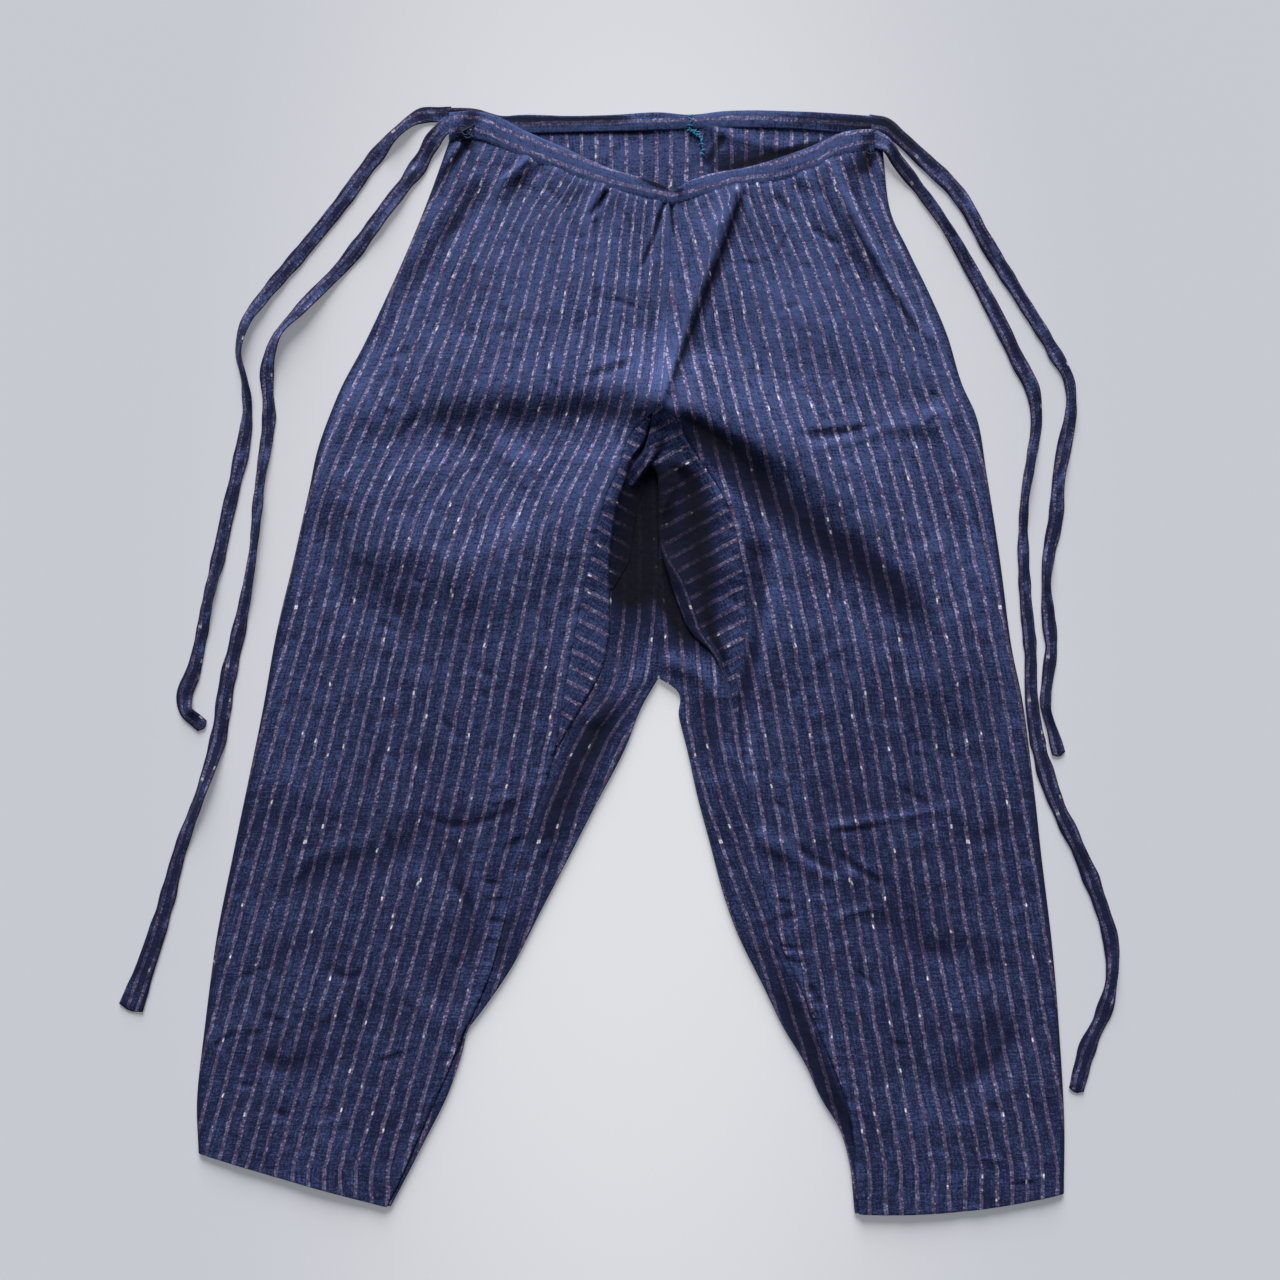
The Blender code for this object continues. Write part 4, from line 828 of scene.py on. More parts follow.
CENTRE_FRONT_X = curve(CENTRE_FRONT)
CENTRE_BACK_X = curve(CENTRE_BACK)
BACK_TOP_Y = curve(BACK_TOP, "y", "x")
TONGUE_X, TONGUE_CREST, TONGUE_HOLLOW, TONGUE_FOOT = (
    curve(TONGUE, key) for key in ("edge_x", "crest_z", "hollow_z", "foot_z")
)
LEFT = Leg(-1, LEFT_SECTIONS, LEFT_INSEAM, LEFT_FOLD, LEFT_LIP, LEFT_WAIST)
RIGHT = Leg(1, RIGHT_SECTIONS, RIGHT_INSEAM, RIGHT_FOLD, RIGHT_LIP, RIGHT_WAIST)


def upper_z(leg, x, y, from_outline):
    """Top of the upper layer. Puff and folds die out towards the outline and the waist's seam."""
    x, y = np.broadcast_arrays(np.asarray(x, float), np.asarray(y, float))
    at_waist = 0.35 + 0.65 * ease((leg.waist_y(x) - y) / WAIST_FADE)
    raised = relief(x, y, FOLDS)
    if leg.side < 0 and x.ndim > 1:
        raised = 0.5 * raised + 0.25 * (relief(x, y - SOFTEN, FOLDS) + relief(x, y + SOFTEN, FOLDS))
    form = ease(from_outline / RELIEF_FADE) * at_waist * raised + PUFF * ease(from_outline / PUFF_REACH)
    small = summed(FORMS, x, y) + CREASE_RISE * summed(CREASES, x, y, CREASE_TAPER)
    small += puckers(x, y) + seam_puckers(leg, x, y)
    return BASE_TOP + form + ease(from_outline / 9) * small


def seam_puckers(leg, x, y):
    """Short ripples at the inseam, the waist and the hem, where the stitches draw the cloth in."""
    shaken = 0.6 * noise(x / 9, y / 9, 71)
    inseam = noise(y / 3.4 + shaken, x / 24, 72) * bell(np.abs(x - leg.seam_x(y)), 11, 1.5)
    inseam = inseam * ease((205 - y) / 30) * ease(0.5 + 1.3 * noise(y / 37, 0.4, 73))
    waist = noise(x / 3.6 + shaken, y / 26, 74) * bell(np.maximum(leg.waist_y(x) - y, 0), 13, 1.4)
    waist = waist * ease(0.45 + 1.4 * noise(x / 31, 0.7, 75))
    hem = noise(x / 3.3 + shaken, y / 9, 76) * bell(y - leg.hem_y - HEM_DEPTH, 5)
    return 1.5 * inseam + 1.3 * waist + 0.7 * hem


def stripe_place(guides, x, y):
    """The cloth's own measure across the stripes, in millimetres, from the guide lines."""
    lines = np.array([curve(guides, key)(y) for key in "abcdef"])
    if lines.flat[0] > lines[-1].flat[0]:
        lines, x = -lines, -x
    index = np.clip((x[None] >= lines).sum(axis=0) - 1, 0, len(lines) - 2)
    low, high = (np.take_along_axis(lines, index[None] + k, axis=0)[0] for k in (0, 1))
    return (index + (x - low) / (high - low)) * STRIPES_A_GUIDE * STRIPE_PITCH


def blurred(grid, reach):
    """A plain running mean over a square of grid points."""
    width = 2 * reach + 1
    grid = np.pad(grid, reach, mode="edge")
    for axis in (0, 1):
        total = np.cumsum(np.insert(grid, 0, 0, axis=axis), axis=axis)
        high = np.take(total, range(width, total.shape[axis]), axis=axis)
        low = np.take(total, range(0, total.shape[axis] - width), axis=axis)
        grid = (high - low) / width
    return grid


def wear_and_shade_of(points, shades=()):
    """Tone of the cloth, about 0 to 1: higher towards the hips and on worn crests, lower in hollows as painted
    shade, and moved by the painted shade and highlights of the table, below 0 in deep painted shade.
    """
    x, y, z = (points[..., k] for k in range(3))
    upward = ease((y - PALER_UPWARD[0]) / (PALER_UPWARD[1] - PALER_UPWARD[0]))
    stands = np.clip((z - blurred(z, 5)) / 1.1, -1, 1)
    return 0.29 + 0.38 * upward + 0.30 * stands - summed(shades, x, y, SHADE_TAPER)


def linked(name, data):
    """A new object in the scene."""
    made = bpy.data.objects.new(name, data)
    bpy.context.scene.collection.objects.link(made)
    return made


def meshed(name, points, faces, material):
    mesh = bpy.data.meshes.new(name)
    mesh.from_pydata(to_metres(points).tolist(), [], faces)
    mesh.shade_smooth()
    mesh.materials.append(material)
    return linked(name, mesh)


def shell(name, points, cloth, material, wear_and_shade, flip=False):
    """A sheet of quads through a grid of points, with the cloth's own measures as its UV, in metres."""
    rows, columns = points.shape[:2]
    corner = (np.arange(rows - 1)[:, None] * columns + np.arange(columns - 1)).ravel()
    quads = np.stack([corner, corner + 1, corner + columns + 1, corner + columns], axis=1)
    if flip:
        quads = quads[:, ::-1]
    piece = meshed(name, points.reshape(-1, 3), quads.tolist(), material)
    layer = piece.data.uv_layers.new(name="cloth")
    layer.data.foreach_set("uv", (cloth.reshape(-1, 2)[quads.ravel()] * METRES).ravel())
    # The point attribute holds the cloth's tone with its painted shade and painted highlights, for the material
    wear_and_shade_layer = piece.data.attributes.new("wear_and_shade", "FLOAT", "POINT")
    wear_and_shade_layer.data.foreach_set("value", wear_and_shade.ravel())
    return piece


def joined(pieces):
    """One object from several sheets, under the name of the first."""
    with bpy.context.temp_override(active_object=pieces[0], selected_editable_objects=pieces):
        bpy.ops.object.join()
    return pieces[0]


# Fronts


def edge_shift(leg, x, row_y, start, end):
    """Bends the top rows to the line of the waist and the last rows to the round of the hem."""
    share = np.clip((x - start[0]) / (end[0] - start[0]), 0, 1)
    top = leg.waist_in_y
    top_x = leg.outer_x(top) + share * (leg.seam_x(top) - leg.outer_x(top))
    straight = leg.outer_y(top) + share * (top - leg.outer_y(top))
    at_waist = ease(1 - (top - row_y) / EDGE_BEND)
    at_hem = ease(1 - (row_y - leg.hem_y) / EDGE_BEND)
    bow = RIGHT_HEM_ROUND if leg.side > 0 else LEFT_HEM_ROUND
    return at_waist * (leg.waist_y(top_x) - straight) - at_hem * bow * 4 * share * (1 - share)


def front_grid(leg, rows, columns, inset=0.0):
    """Points of a front, from the underside of its outer edge over to the seam. inset moves it inwards."""
    turns = np.radians([-85, -55, -25, 5, 35, 65])
    radius = EDGE_ROLL - inset
    grid = []
    for row_y in rows:
        start = np.array([leg.outer_x(row_y), leg.outer_y(row_y)])
        end = np.array([leg.seam_x(row_y), row_y])
        width = np.hypot(*(end - start))
        spans = np.concatenate([EDGE_ROLL - radius * np.cos(turns), np.linspace(EDGE_ROLL, width, columns)])
        x, y = (start + spans[:, None] * (end - start) / width).T
        grid.append(stacked(x, y + edge_shift(leg, x, row_y, start, end), spans, width - spans))
    x, y, span, from_seam = np.moveaxis(np.array(grid), -1, 0)
    top = upper_z(leg, x, y, span) - inset
    z = top - bell(from_seam, SEAM_GROOVE)
    around = len(turns)
    z[:, :around] = EDGE_ROLL + radius * np.sin(turns) + (top[:, :around] - BASE_TOP + inset) * (turns > 0)
    return stacked(x, y, z)


def front(name, leg, guides, material):
    """A front with its hem turned up inside and its seam edge turned down."""
    rows = leg.rows(STEP)
    columns = int(FRONT_WIDTH / STEP)
    top = front_grid(leg, rows, columns)
    turned = front_grid(leg, rows[-int(HEM_DEPTH / STEP):], columns, HEM_DROP)[::-1]
    bends = []
    for turn in np.radians([45, 90, 135]):
        share = 0.5 * (1 - np.cos(turn))
        bends.append((1 - share) * top[-1] + share * turned[0] - np.array([0, 0.6 * np.sin(turn), 0]))
    above = np.maximum(top[:1] + np.array([0, 3.0, -1.2]), [-np.inf, -np.inf, 0])
    points = np.concatenate([above, top, bends, turned])
    x, y = points[..., 0], points[..., 1]
    along = y.copy()
    along[len(top) + 1:] = 2 * leg.hem_y - along[len(top) + 1:]
    cloth = stacked(stripe_place(guides, x, y) + summed(TUCKED, x, y, 0.3), along)
    cloth = np.concatenate([cloth, cloth[:, -1:] + np.array([2.2, 0])], axis=1)
    allowance = np.maximum(points[:, -1:] + np.array([0, 0, -2.2]), [-np.inf, -np.inf, 1.5])
    points = np.concatenate([points, allowance], axis=1)
    wear_and_shade = wear_and_shade_of(points, SHADES)
    # Painted shade along the rolled outer edge
    wear_and_shade[:, :len(EDGE_SHADE)] -= EDGE_SHADE
    return shell(name, points, cloth, material, wear_and_shade, leg.side < 0)


# Backs


def flap_ends(leg, y):
    """The flap in the hollow, from the middle to the gusset's edge or, below the gusset's tip, the seam."""
    middle = CENTRE_BACK_X(APEX_Y) + 0 * y
    seam = leg.seam_x(y)
    if leg.side < 0:
        return np.minimum(middle, TONGUE_X(y) - 0.5), np.where(y >= LEFT_TIP_Y, leg.lip_x(y) - 1.0, seam)
    return middle, np.where(y >= RIGHT_TIP_Y, np.minimum(TONGUE_X(y), seam - LEAST_GUSSET) + 1.0, seam)


def back_stripes(leg, x, y):
    """Upright at the centre back, and leaning outwards with the leg lower down."""
    out = leg.side * (x - CENTRE_BACK_X(y))
    return out - 0.16 * np.maximum(0, 420 - y) * np.clip(out / 250, 0, 1.2)


def back_plan(leg, rows, roll):
    """Plan of the part on the surface, as far as the centre back, or as the roll round the inner leg."""
    shares = np.linspace(0, 1, BACK_COLUMNS)
    grid = []
    for row_y in rows:
        wrapped = row_y <= APEX_Y
        start = np.array([leg.outer_x(row_y) - leg.side * BACK_INSET, leg.outer_y(row_y)])
        end = np.array([leg.fold_x(row_y) + leg.side * roll if wrapped else CENTRE_BACK_X(row_y), row_y])
        plan = start + shares[:, None] * (end - start)
        if wrapped:
            plan[:, 1] += edge_shift(leg, plan[:, 0], row_y, start, end)
        grid.append(plan)
    corner = BACK_TOP[0] if leg.side < 0 else BACK_TOP[-1]
    top_x = np.linspace(corner.x, CENTRE_BACK[0].x, BACK_COLUMNS)
    top = stacked(top_x, BACK_TOP_Y(top_x) + 2.0)
    fill = np.linspace(0, 1, 26)[:-1, None, None]
    return np.concatenate([(1 - fill) * top + fill * grid[0], grid])


def back(name, leg, flap_top, guides, material):
    """A back: flat on the surface, rolled round the inner leg, and on over it as far as the seam."""
    rows = leg.rows(BACK_STEP)
    rows[np.argmin(np.abs(rows - APEX_Y))] = APEX_Y
    low_rows = rows[rows <= APEX_Y][:, None]
    turns = np.radians([-90, -60, -30, 0, 30, 60, 90])
    radius = 0.5 * (BASE_TOP - FLAT_Z)
    x, y = np.moveaxis(back_plan(leg, rows, radius), -1, 0)
    inside = np.maximum(relief(x, y, INSIDE_FOLDS), 0) + 0.35 * np.abs(puckers(x, y)) * ease((y - 380) / 20)
    points = stacked(x, y, FLAT_Z + inside)
    cloth = stacked(back_stripes(leg, x, y), y)
    parts = [shell(name, points, cloth, material, wear_and_shade_of(points, INSIDE_SHADES), leg.side < 0)]

    roll_x = leg.fold_x(low_rows) + leg.side * radius * (1 - np.cos(turns))
    roll = stacked(roll_x, low_rows, FLAT_Z + radius * (1 + np.sin(turns)))
    high_rows = np.linspace(flap_top, APEX_Y, int((flap_top - APEX_Y) / BACK_STEP) + 1)[:-1, None]
    y = np.concatenate([high_rows, low_rows])
    middle, last = flap_ends(leg, y)
    first = np.where(y <= APEX_Y, leg.fold_x(y) + leg.side * radius, middle)
    x, y = np.broadcast_arrays(first + (last - first) * np.linspace(0, 1, WRAP_COLUMNS), y)
    for points, shades in ((roll, ()), (stacked(x, y, flap_z(leg, x, y)), HOLLOW_SHADES)):
        x, y = points[..., 0], points[..., 1]
        cloth = stacked(stripe_place(guides, x, y), y)
        parts.append(shell(name + "_part", points, cloth, material, wear_and_shade_of(points, shades), leg.side > 0))
    return joined(parts)


def flap_z(leg, x, y):
    """Top of the cloth at the foot of the hollow and of the wrap round the inner leg."""
    gap = np.where(y <= APEX_Y, np.abs(x - leg.fold_x(y)), RELIEF_FADE)
    tip = LEFT_TIP_Y if leg.side < 0 else RIGHT_TIP_Y
    wrapped = ease((tip - TIP_STEP - y) / WRAP_RISE)
    floor = relief(x, y, FLOOR_FOLDS) * ease(gap / 10)
    rise = wrapped * (upper_z(leg, x, y, gap) - BASE_TOP)
    groove = (wrapped > 0) * bell(x - leg.seam_x(y), SEAM_GROOVE)
    small = 0.5 * puckers(x, y) * ease(gap / 9) * (1 - wrapped)
    return BASE_TOP + floor + rise + small - groove


# Gussets


def slanted(x, y, slant):
    """Cloth measures where the stripes lean by slant (radians) from the X axis."""
    return stacked(-x * np.sin(slant) + y * np.cos(slant), x * np.cos(slant) + y * np.sin(slant))


def gusset_left(material):
    """A strip along the left inseam that rolls over its edge and slopes down to the floor of the hollow."""
    turns = np.radians(np.linspace(0, 90, 7))[1:]
    shares = np.linspace(0, 1, 10)[1:]
    points = []
    cloth = []
    wear_and_shade = []
    for y in np.linspace(LEFT_GUSSET_TOP + 3, LEFT_TIP_Y, 140):
        seam = LEFT.seam_x(y)
        width = max(LEFT.lip_x(y) - seam - 6.0 * ease(1 - abs(y - 172) / 20), 0.8)
        bend = min(3.0, 0.45 * width)
        flat = seam + np.linspace(0, width - bend, 12)
        tops = upper_z(LEFT, flat, y, PUFF_REACH) - bell(flat - seam, SEAM_GROOVE)
        edge = tops[-1]
        inward = 17.0 * ease((184 - y) / 22) * ease((y - 52) / 40)
        deep = ease((LEFT_GUSSET_TOP - 12 - y) / 34)
        foot = (1 - deep) * (edge - 4.0) + deep * (BASE_TOP - 1.2 + 1.8 * ease(inward / 4))
        round_x = flat[-1] + bend * np.sin(turns)
        round_z = edge - min(bend, max(0.3, edge - foot)) * (1 - np.cos(turns))
        foot = min(foot, round_z[-1] - 0.1)
        fall_x = round_x[-1] + shares * (inward - 1.5 * (1 - ease(inward / 5)))
        fall_z = foot + (round_z[-1] - foot) * (1 - shares) ** 1.5
        fall_z += 0.5 * puckers(fall_x, y) * shares * ease(inward / 8)
        x = np.concatenate([flat, round_x, fall_x])
        z = np.concatenate([tops, round_z, fall_z])
        points.append(stacked(x, y, z))
        cloth.append(slanted(seam + walked(stacked(x, z)), y, -GUSSET_SLANT))
        # Painted shade, deeper over the roll and down into the hollow
        dark = ease((198 - y) / 20) * ease((y + 20) / 60)
        into_shade = np.concatenate([0 * flat, 0.5 * (1 - np.cos(turns)), 0.5 + 0.5 * shares])
        wear_and_shade.append(0.40 - 1.45 * dark * into_shade)
    return shell("gusset_left_cloth", np.array(points), np.array(cloth), material, np.array(wear_and_shade), True)


def tongue_edge(y):
    """The left end of the right gusset. At the top it closes the gap to the left front's seam."""
    edge = min(TONGUE_X(y), RIGHT.seam_x(y) - LEAST_GUSSET)
    if y > CROTCH_EDGE[-1].y:
        edge = curve(CROTCH_EDGE, "left")(y)
    top = ease((y - 205) / 7)
    return (1 - top) * edge + top * (LEFT.seam_x(y) - 0.4)


def tongue_profile(y, seam, edge):
    """A section of the right gusset, from the seam to the tongue's end: place, height and painted shade."""
    lip = np.clip(RIGHT.lip_x(y), edge + 0.45 * (seam - edge), seam - 0.2 * (seam - edge))
    gap = lip - edge
    strip = min(13.0, 0.42 * gap) * (0.25 + 0.75 * max(ease((106 - y) / 50), ease((y - 122) / 30)))
    middle = 0.5 * (seam + lip)
    seam_z, middle_z, lip_z = upper_z(RIGHT, np.array([seam, middle, lip]), y, PUFF_REACH)
    rim = ease((y - 152) / 30)
    near_top = ease((y - 184) / 18)
    crest = min(TONGUE_CREST(y) + 3.2 * rim, lip_z)
    crest += near_top * (upper_z(LEFT, np.array([edge]), y, PUFF_REACH)[0] - 1.2 - crest)
    hollow = min(TONGUE_HOLLOW(y) + 3.4 * rim, crest)
    hollow += near_top * (crest - 0.6 - hollow)
    foot = min(TONGUE_FOOT(y), crest - CLOTH - 0.5)
    foot += (crest - 0.6 - foot) * ease((y - 188) / 12)
    profile = [
        (seam, seam_z - 1.0, 0.35),
        (seam - 2.5, seam_z - 0.2, 0.4),
        (middle, middle_z, 0.35),
        (lip, lip_z - 0.4, 0.1),
        (lip - 0.14 * gap, 0.45 * lip_z + 0.55 * hollow, -0.65),
        (lip - 0.30 * gap, hollow + 0.06 * (lip_z - hollow), -0.95),
        (edge + strip + 0.5 * (0.7 * gap - strip), hollow - 0.3, -0.50),
        (edge + strip, crest - 0.5, -0.35),
        (edge + 0.72 * strip, crest, -0.15),
        (edge + 0.25 * strip, crest - 0.3, -0.30),
        (edge + 0.05 * strip, crest - 0.4 * min(1.6, crest - foot), -0.6),
        (edge, foot, -1.4),
    ]
    if seam - middle < 2.6:
        del profile[1]
    return np.array(profile)


def gusset_right(material):
    """A strip along the right inseam that rolls into the hollow and ends in the tongue-like fold."""
    # Rows of the mesh, closer together near the crotch
    y = np.concatenate([np.linspace(215.3, 150, 60)[:-1], np.linspace(150, RIGHT_TIP_Y, 96)])[:, None]
    grid = []
    for row_y in y[:, 0]:
        seam = RIGHT.seam_x(row_y)
        profile = tongue_profile(row_y, seam, tongue_edge(row_y))
        steps = walked(profile[:, :2])
        crest = steps[-5]
        before, after = np.linspace(0, crest, TONGUE_COLUMN + 1), np.linspace(crest, steps[-1], 18)
        places = np.concatenate([before, after[1:]])
        x, z = (smooth(steps, profile[:, k])(places) for k in (0, 1))
        z += 0.8 * puckers(x, row_y) * ease(places / 8) * ease((steps[-1] - places) / 6)
        # Painted shade on the tongue's end, deeper up the hollow
        profile[-5:, 2] -= 0.45 * ease((row_y - 50) / 70)
        grid.append(stacked(x, z, np.interp(places, steps, profile[:, 2]), seam - places, places - crest))
    x, z, shade, from_seam, from_crest = np.moveaxis(np.array(grid), -1, 0)
    points = stacked(x, y, z)
    # The profile's painted shade holds in the hollow, with the painted shade and highlights of the gusset table
    dark = ease((172 - y) / 10) * ease((y + 25) / 50)
    wear_and_shade = (1 - dark) * 0.4 + dark * shade - summed(GUSSET_SHADES, x, points[..., 1], SHADE_TAPER)
    cloth = slanted(from_seam, y, GUSSET_SLANT)
    upright = stacked(1.35 * from_crest - 3.6, y)
    strip_cloth = np.where(y[..., None] > TONGUE_STRIPES_TOP, cloth, upright)
    parts = []
    for part, sheet in ((slice(TONGUE_COLUMN + 1), cloth), (slice(TONGUE_COLUMN, None), strip_cloth)):
        parts.append(shell("gusset_right_cloth", points[:, part], sheet[:, part], material, wear_and_shade[:, part]))
    return joined([*parts, crotch_flap(material)])


def crotch_flap(material):
    """The puckered fold of the gusset that hangs from the crotch over the top of the hollow."""
    top, end = CROTCH_FLAP[0].y, CROTCH_FLAP[-1].y
    y = np.linspace(top, end, 40)[:, None]
    left, right, crest = (curve(CROTCH_FLAP, key)(y) for key in ("left", "right", "crest"))
    x = left + (right - left) * np.linspace(0, 1, 28)
    x, y = np.broadcast_arrays(x, y)
    high = ease((top - y) / 6)
    edge = (1 - high) + high * ease(np.minimum(x - left, right - x) / 3.0)
    z = crest - 3.0 * (1 - edge * (0.3 + 0.7 * ease((y - end) / 5))) - 2.5 * (1 - high)
    z = z + high * 1.3 * noise(x / 7 + 3, y / 11, 81)
    # Painted shade at the fold's edges, a random tone, and the gusset table's painted shade and highlights
    wear_and_shade = 0.30 + 0.8 * (edge - 1) + 0.5 * noise(x / 8, y / 12, 82) - summed(GUSSET_SHADES, x, y, SHADE_TAPER)
    return shell("crotch_flap", stacked(x, y, z), slanted(x, y, GUSSET_SLANT * 2.1), material, wear_and_shade)


# Bands and tapes


def waist_seam(x):
    """Where the front band is sewn on: y, and the height of the band's underside."""
    y = np.where(x < CENTRE_FRONT[0].x, LEFT.waist_y(x), RIGHT.waist_y(x))
    over = np.maximum(ease((BAND_LIFT_LEFT - x) / 24), ease((x - BAND_LIFT_RIGHT) / 26))
    return y, FRONT_BAND_LOW + (FRONT_BAND_OVER_BACK - FRONT_BAND_LOW) * over + 0.9


def band(name, x, low, high, under, material, seed, shades):
    """A waistband: a strip folded double, its cut edges turned in along the lower underside."""
    turns = np.radians(np.linspace(-80, 260, RING))
    x, low, high, under = (values[:, None] for values in np.broadcast_arrays(x, low, high, under))
    wide = squared(np.sin(turns), 0.4)
    tall = squared(np.cos(turns), 0.7)
    y = 0.5 * (low + high) + 0.5 * (high - low) * wide
    dent = 0.25 * bell(np.abs(y - low) - 2.0, 0.9)
    rough = 0.35 * noise(x / 9, y / 9, seed) + 0.5 * noise(x / 28, y / 28, seed + 1)
    upper = (tall > 0) * (0.35 * (1 - wide**2) - dent + rough)
    points = stacked(x, y, under + 0.5 * BAND_THICK * (1 + tall) + upper)
    across = np.array([walked(ring) for ring in points]) + BAND_STRIPE_SHIFT
    return shell(name, points, stacked(across, x), material, wear_and_shade_of(points, shades))


def front_band(material):
    x = np.arange(FRONT_BAND_TOP[0].x, FRONT_BAND_TOP[-1].x + 0.1, BAND_STEP)
    low, under = waist_seam(x)
    high = curve(FRONT_BAND_TOP, "y", "x")(x)
    return band("front_band_cloth", x, low - 0.4, high, under, material, 31, FRONT_BAND_SHADES)


def back_band(material):
    x = np.arange(BACK_BAND[0].x, BACK_BAND[-1].x + 0.1, BAND_STEP)
    low, high = (curve(BACK_BAND, key, "x")(x) for key in ("low_y", "high_y"))
    return band("back_band_cloth", x, low - 1.0, high, 0.2, material, 41, BACK_BAND_SHADES)


def tie(name, route, material, seed):
    """A sewn tape along its route. Where it rolls on its side it looks narrower and stands higher."""
    steps = walked([(row.x, row.y) for row in route])
    places = np.linspace(0, steps[-1], 2 + int(steps[-1] / TIE_STEP))
    columns = (smooth(steps, column)(places) for column in zip(*route))
    x, y, width, roll, lift = (np.insert(values, 0, values[0]) for values in columns)
    places = np.insert(places, 0, -TIE_INSIDE)
    x[0] -= TIE_INSIDE * (x[2] - x[1]) / places[2]
    y[0] -= TIE_INSIDE * (y[2] - y[1]) / places[2]
    way = np.array([np.gradient(x), np.gradient(y)])
    way = way / np.hypot(*way)
    turn = np.radians(np.maximum(roll, 0))
    across = stacked(-way[1] * np.cos(turn), way[0] * np.cos(turn), np.sin(turn))
    face = np.cross(stacked(*way, 0.0), across)
    face = np.where(face[:, 2:] > 0, face, -face)
    height = 0.5 * width * np.sin(turn) + 0.5 * TIE_THICK * np.cos(turn) + np.maximum(lift, 0)
    middles = stacked(x, y, height)

    turns = np.linspace(0, 2 * np.pi, RING)
    wide = squared(np.cos(turns), 0.5)
    tall = squared(np.sin(turns), 0.8)
    end_gap = steps[-1] - places[:, None]
    shut = np.where(end_gap > 1.2, 1.0, 0.25 + 0.6 * end_gap)
    half = (0.5 * width * (1 + 0.26 * noise(places / 17, 0.5, seed)))[:, None]
    places = places[:, None]
    rough = 0.35 * noise(places / 7 + 0.4 * wide, 1.4 * wide + 5, seed + 1)
    fold = 0.3 * bell(wide - 0.35 * np.sin(places / 31 + seed), 0.16)
    thick = 0.5 * TIE_THICK * tall * shut + (rough - fold) * (tall > 0)
    spread = (half * shut * wide)[..., None] * across[:, None] + thick[..., None] * face[:, None]
    points = middles[:, None] + spread
    from_band = ease(places / 16)
    # Random blotches, painted shade along both sides and more on the right, and paler near the band
    blotch = 1.1 * noise(places / 17 + 0.5 * wide, 1.1 * wide, seed + 7)
    wear_and_shade = wear_and_shade_of(points, TIE_SHADES) + from_band * (blotch - wide**4 * (0.60 + 0.35 * np.sign(wide)))
    wear_and_shade += 0.45 * (1 - from_band)
    cloth = stacked(wide * half + 0.9 * wide * tall + TAPE_STRIPE_SHIFT, places)
    piece = shell(name, points, cloth, material, wear_and_shade)
    return piece


# Thread


def threads(name, stitches, material, radius):
    """Short lengths of thread, each a row of points, as thin five-sided tubes in one piece."""
    turns = np.radians([18, 90, 162, 234, 306])[:, None]
    sides = len(turns)
    verts = []
    faces = []
    for stitch in stitches:
        line = np.asarray(stitch, float)
        way = np.gradient(line, axis=0)
        way = way / np.linalg.norm(way, axis=1)[:, None]
        side = np.cross(way, [0, 0, 1])
        side = side / np.maximum(np.linalg.norm(side, axis=1), 1e-6)[:, None]
        sizes = np.full(len(line), radius)
        sizes[[0, -1]] *= 0.45
        first = len(verts)
        for point, size, a, b in zip(line, sizes, side, np.cross(side, way)):
            verts.extend(point + size * (np.cos(turns) * a + np.sin(turns) * b))
        last = len(verts) - sides
        for ring in range(first, last, sides):
            for k in range(sides):
                a, b = ring + k, ring + (k + 1) % sides
                faces.append((a, b, b + sides, a + sides))
        faces.append(tuple(first + k for k in reversed(range(sides))))
        faces.append(tuple(last + k for k in range(sides)))
    piece = meshed(name, verts, faces, material)
    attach(piece, "root")
    return piece


def running_stitches(line, stitch, gap):
    """Stitches laid end to end along a line of points, each dipping into the cloth at its ends."""
    steps = walked(line)
    made = []
    for start in np.arange(0, steps[-1] - stitch, stitch + gap):
        places = start + np.array([0, 0.25, 0.75, 1.0]) * stitch
        points = stacked(*(np.interp(places, steps, column) for column in line.T))
        points[:, 2] += [-0.25, 0.12, 0.12, -0.25]
        made.append(points)
    return made


def sewing():
    """Hem and band stitches, the knot and tack at the waist's ends, and a mend in turquoise thread."""
    navy = thread_material("navy_thread", NAVY_THREAD)
    hems = []
    for leg in (LEFT, RIGHT):
        line = front_grid(leg, [leg.hem_y + HEM_DEPTH - 1.5], 220)[0, 8:]
        hems += running_stitches(line, stitch=2.6, gap=2.4)
    threads("hem_stitches", hems, navy, radius=0.24)
    x = np.arange(-146.0, 206.0, BAND_STEP)
    y, under = waist_seam(x)
    seam = stacked(x, y + 1.8, under + BAND_THICK + 0.15)
    threads("band_stitches", running_stitches(seam, stitch=2.2, gap=1.8), navy, radius=0.22)
    threads("tack", TACKS, navy, radius=0.55)
    turn = np.linspace(0, 2.7 * np.pi, 110)
    loop_x = 5.6 * np.sin(2.0 * turn + 0.5) + 2.2 * np.sin(0.9 * turn)
    loop_y = 3.4 * np.sin(3.1 * turn) + 2.4 * np.sin(1.3 * turn + 1.0)
    threads("waist_knot", [stacked(loop_x, loop_y, 0.5 * np.sin(4.3 * turn)) + KNOT], navy, radius=0.7)
    mend = []
    for line in MENDS:
        line = np.array(line, float)
        mend.append(line)
        steps = walked(line[:, :2])
        for k, place in enumerate(np.arange(1.5, steps[-1], 2.7)):
            middle = np.array([np.interp(place, steps, column) for column in line.T])
            lean = np.array([2.6 * np.cos(0.5 + 1.9 * k), 2.6 * np.sin(0.5 + 1.9 * k), 0])
            mend.append([middle - lean - (0, 0, 0.3), middle + (0, 0, 0.5), middle + lean - (0, 0, 0.3)])
    threads("mend", mend, thread_material("turquoise_thread", TURQUOISE), radius=0.62)


# Materials


class Value:
    """A number that a material's nodes work out. Sums and products of it add nodes."""

    def __init__(self, nodes, socket):
        self.nodes = nodes
        self.socket = socket

    def __add__(self, other):
        return self.nodes.math("ADD", self, other)

    def __sub__(self, other):
        return self.nodes.math("SUBTRACT", self, other)

    def __rsub__(self, other):
        return self.nodes.math("SUBTRACT", other, self)

    def __mul__(self, other):
        return self.nodes.math("MULTIPLY", self, other)

    def __truediv__(self, other):
        return self.nodes.math("DIVIDE", self, other)


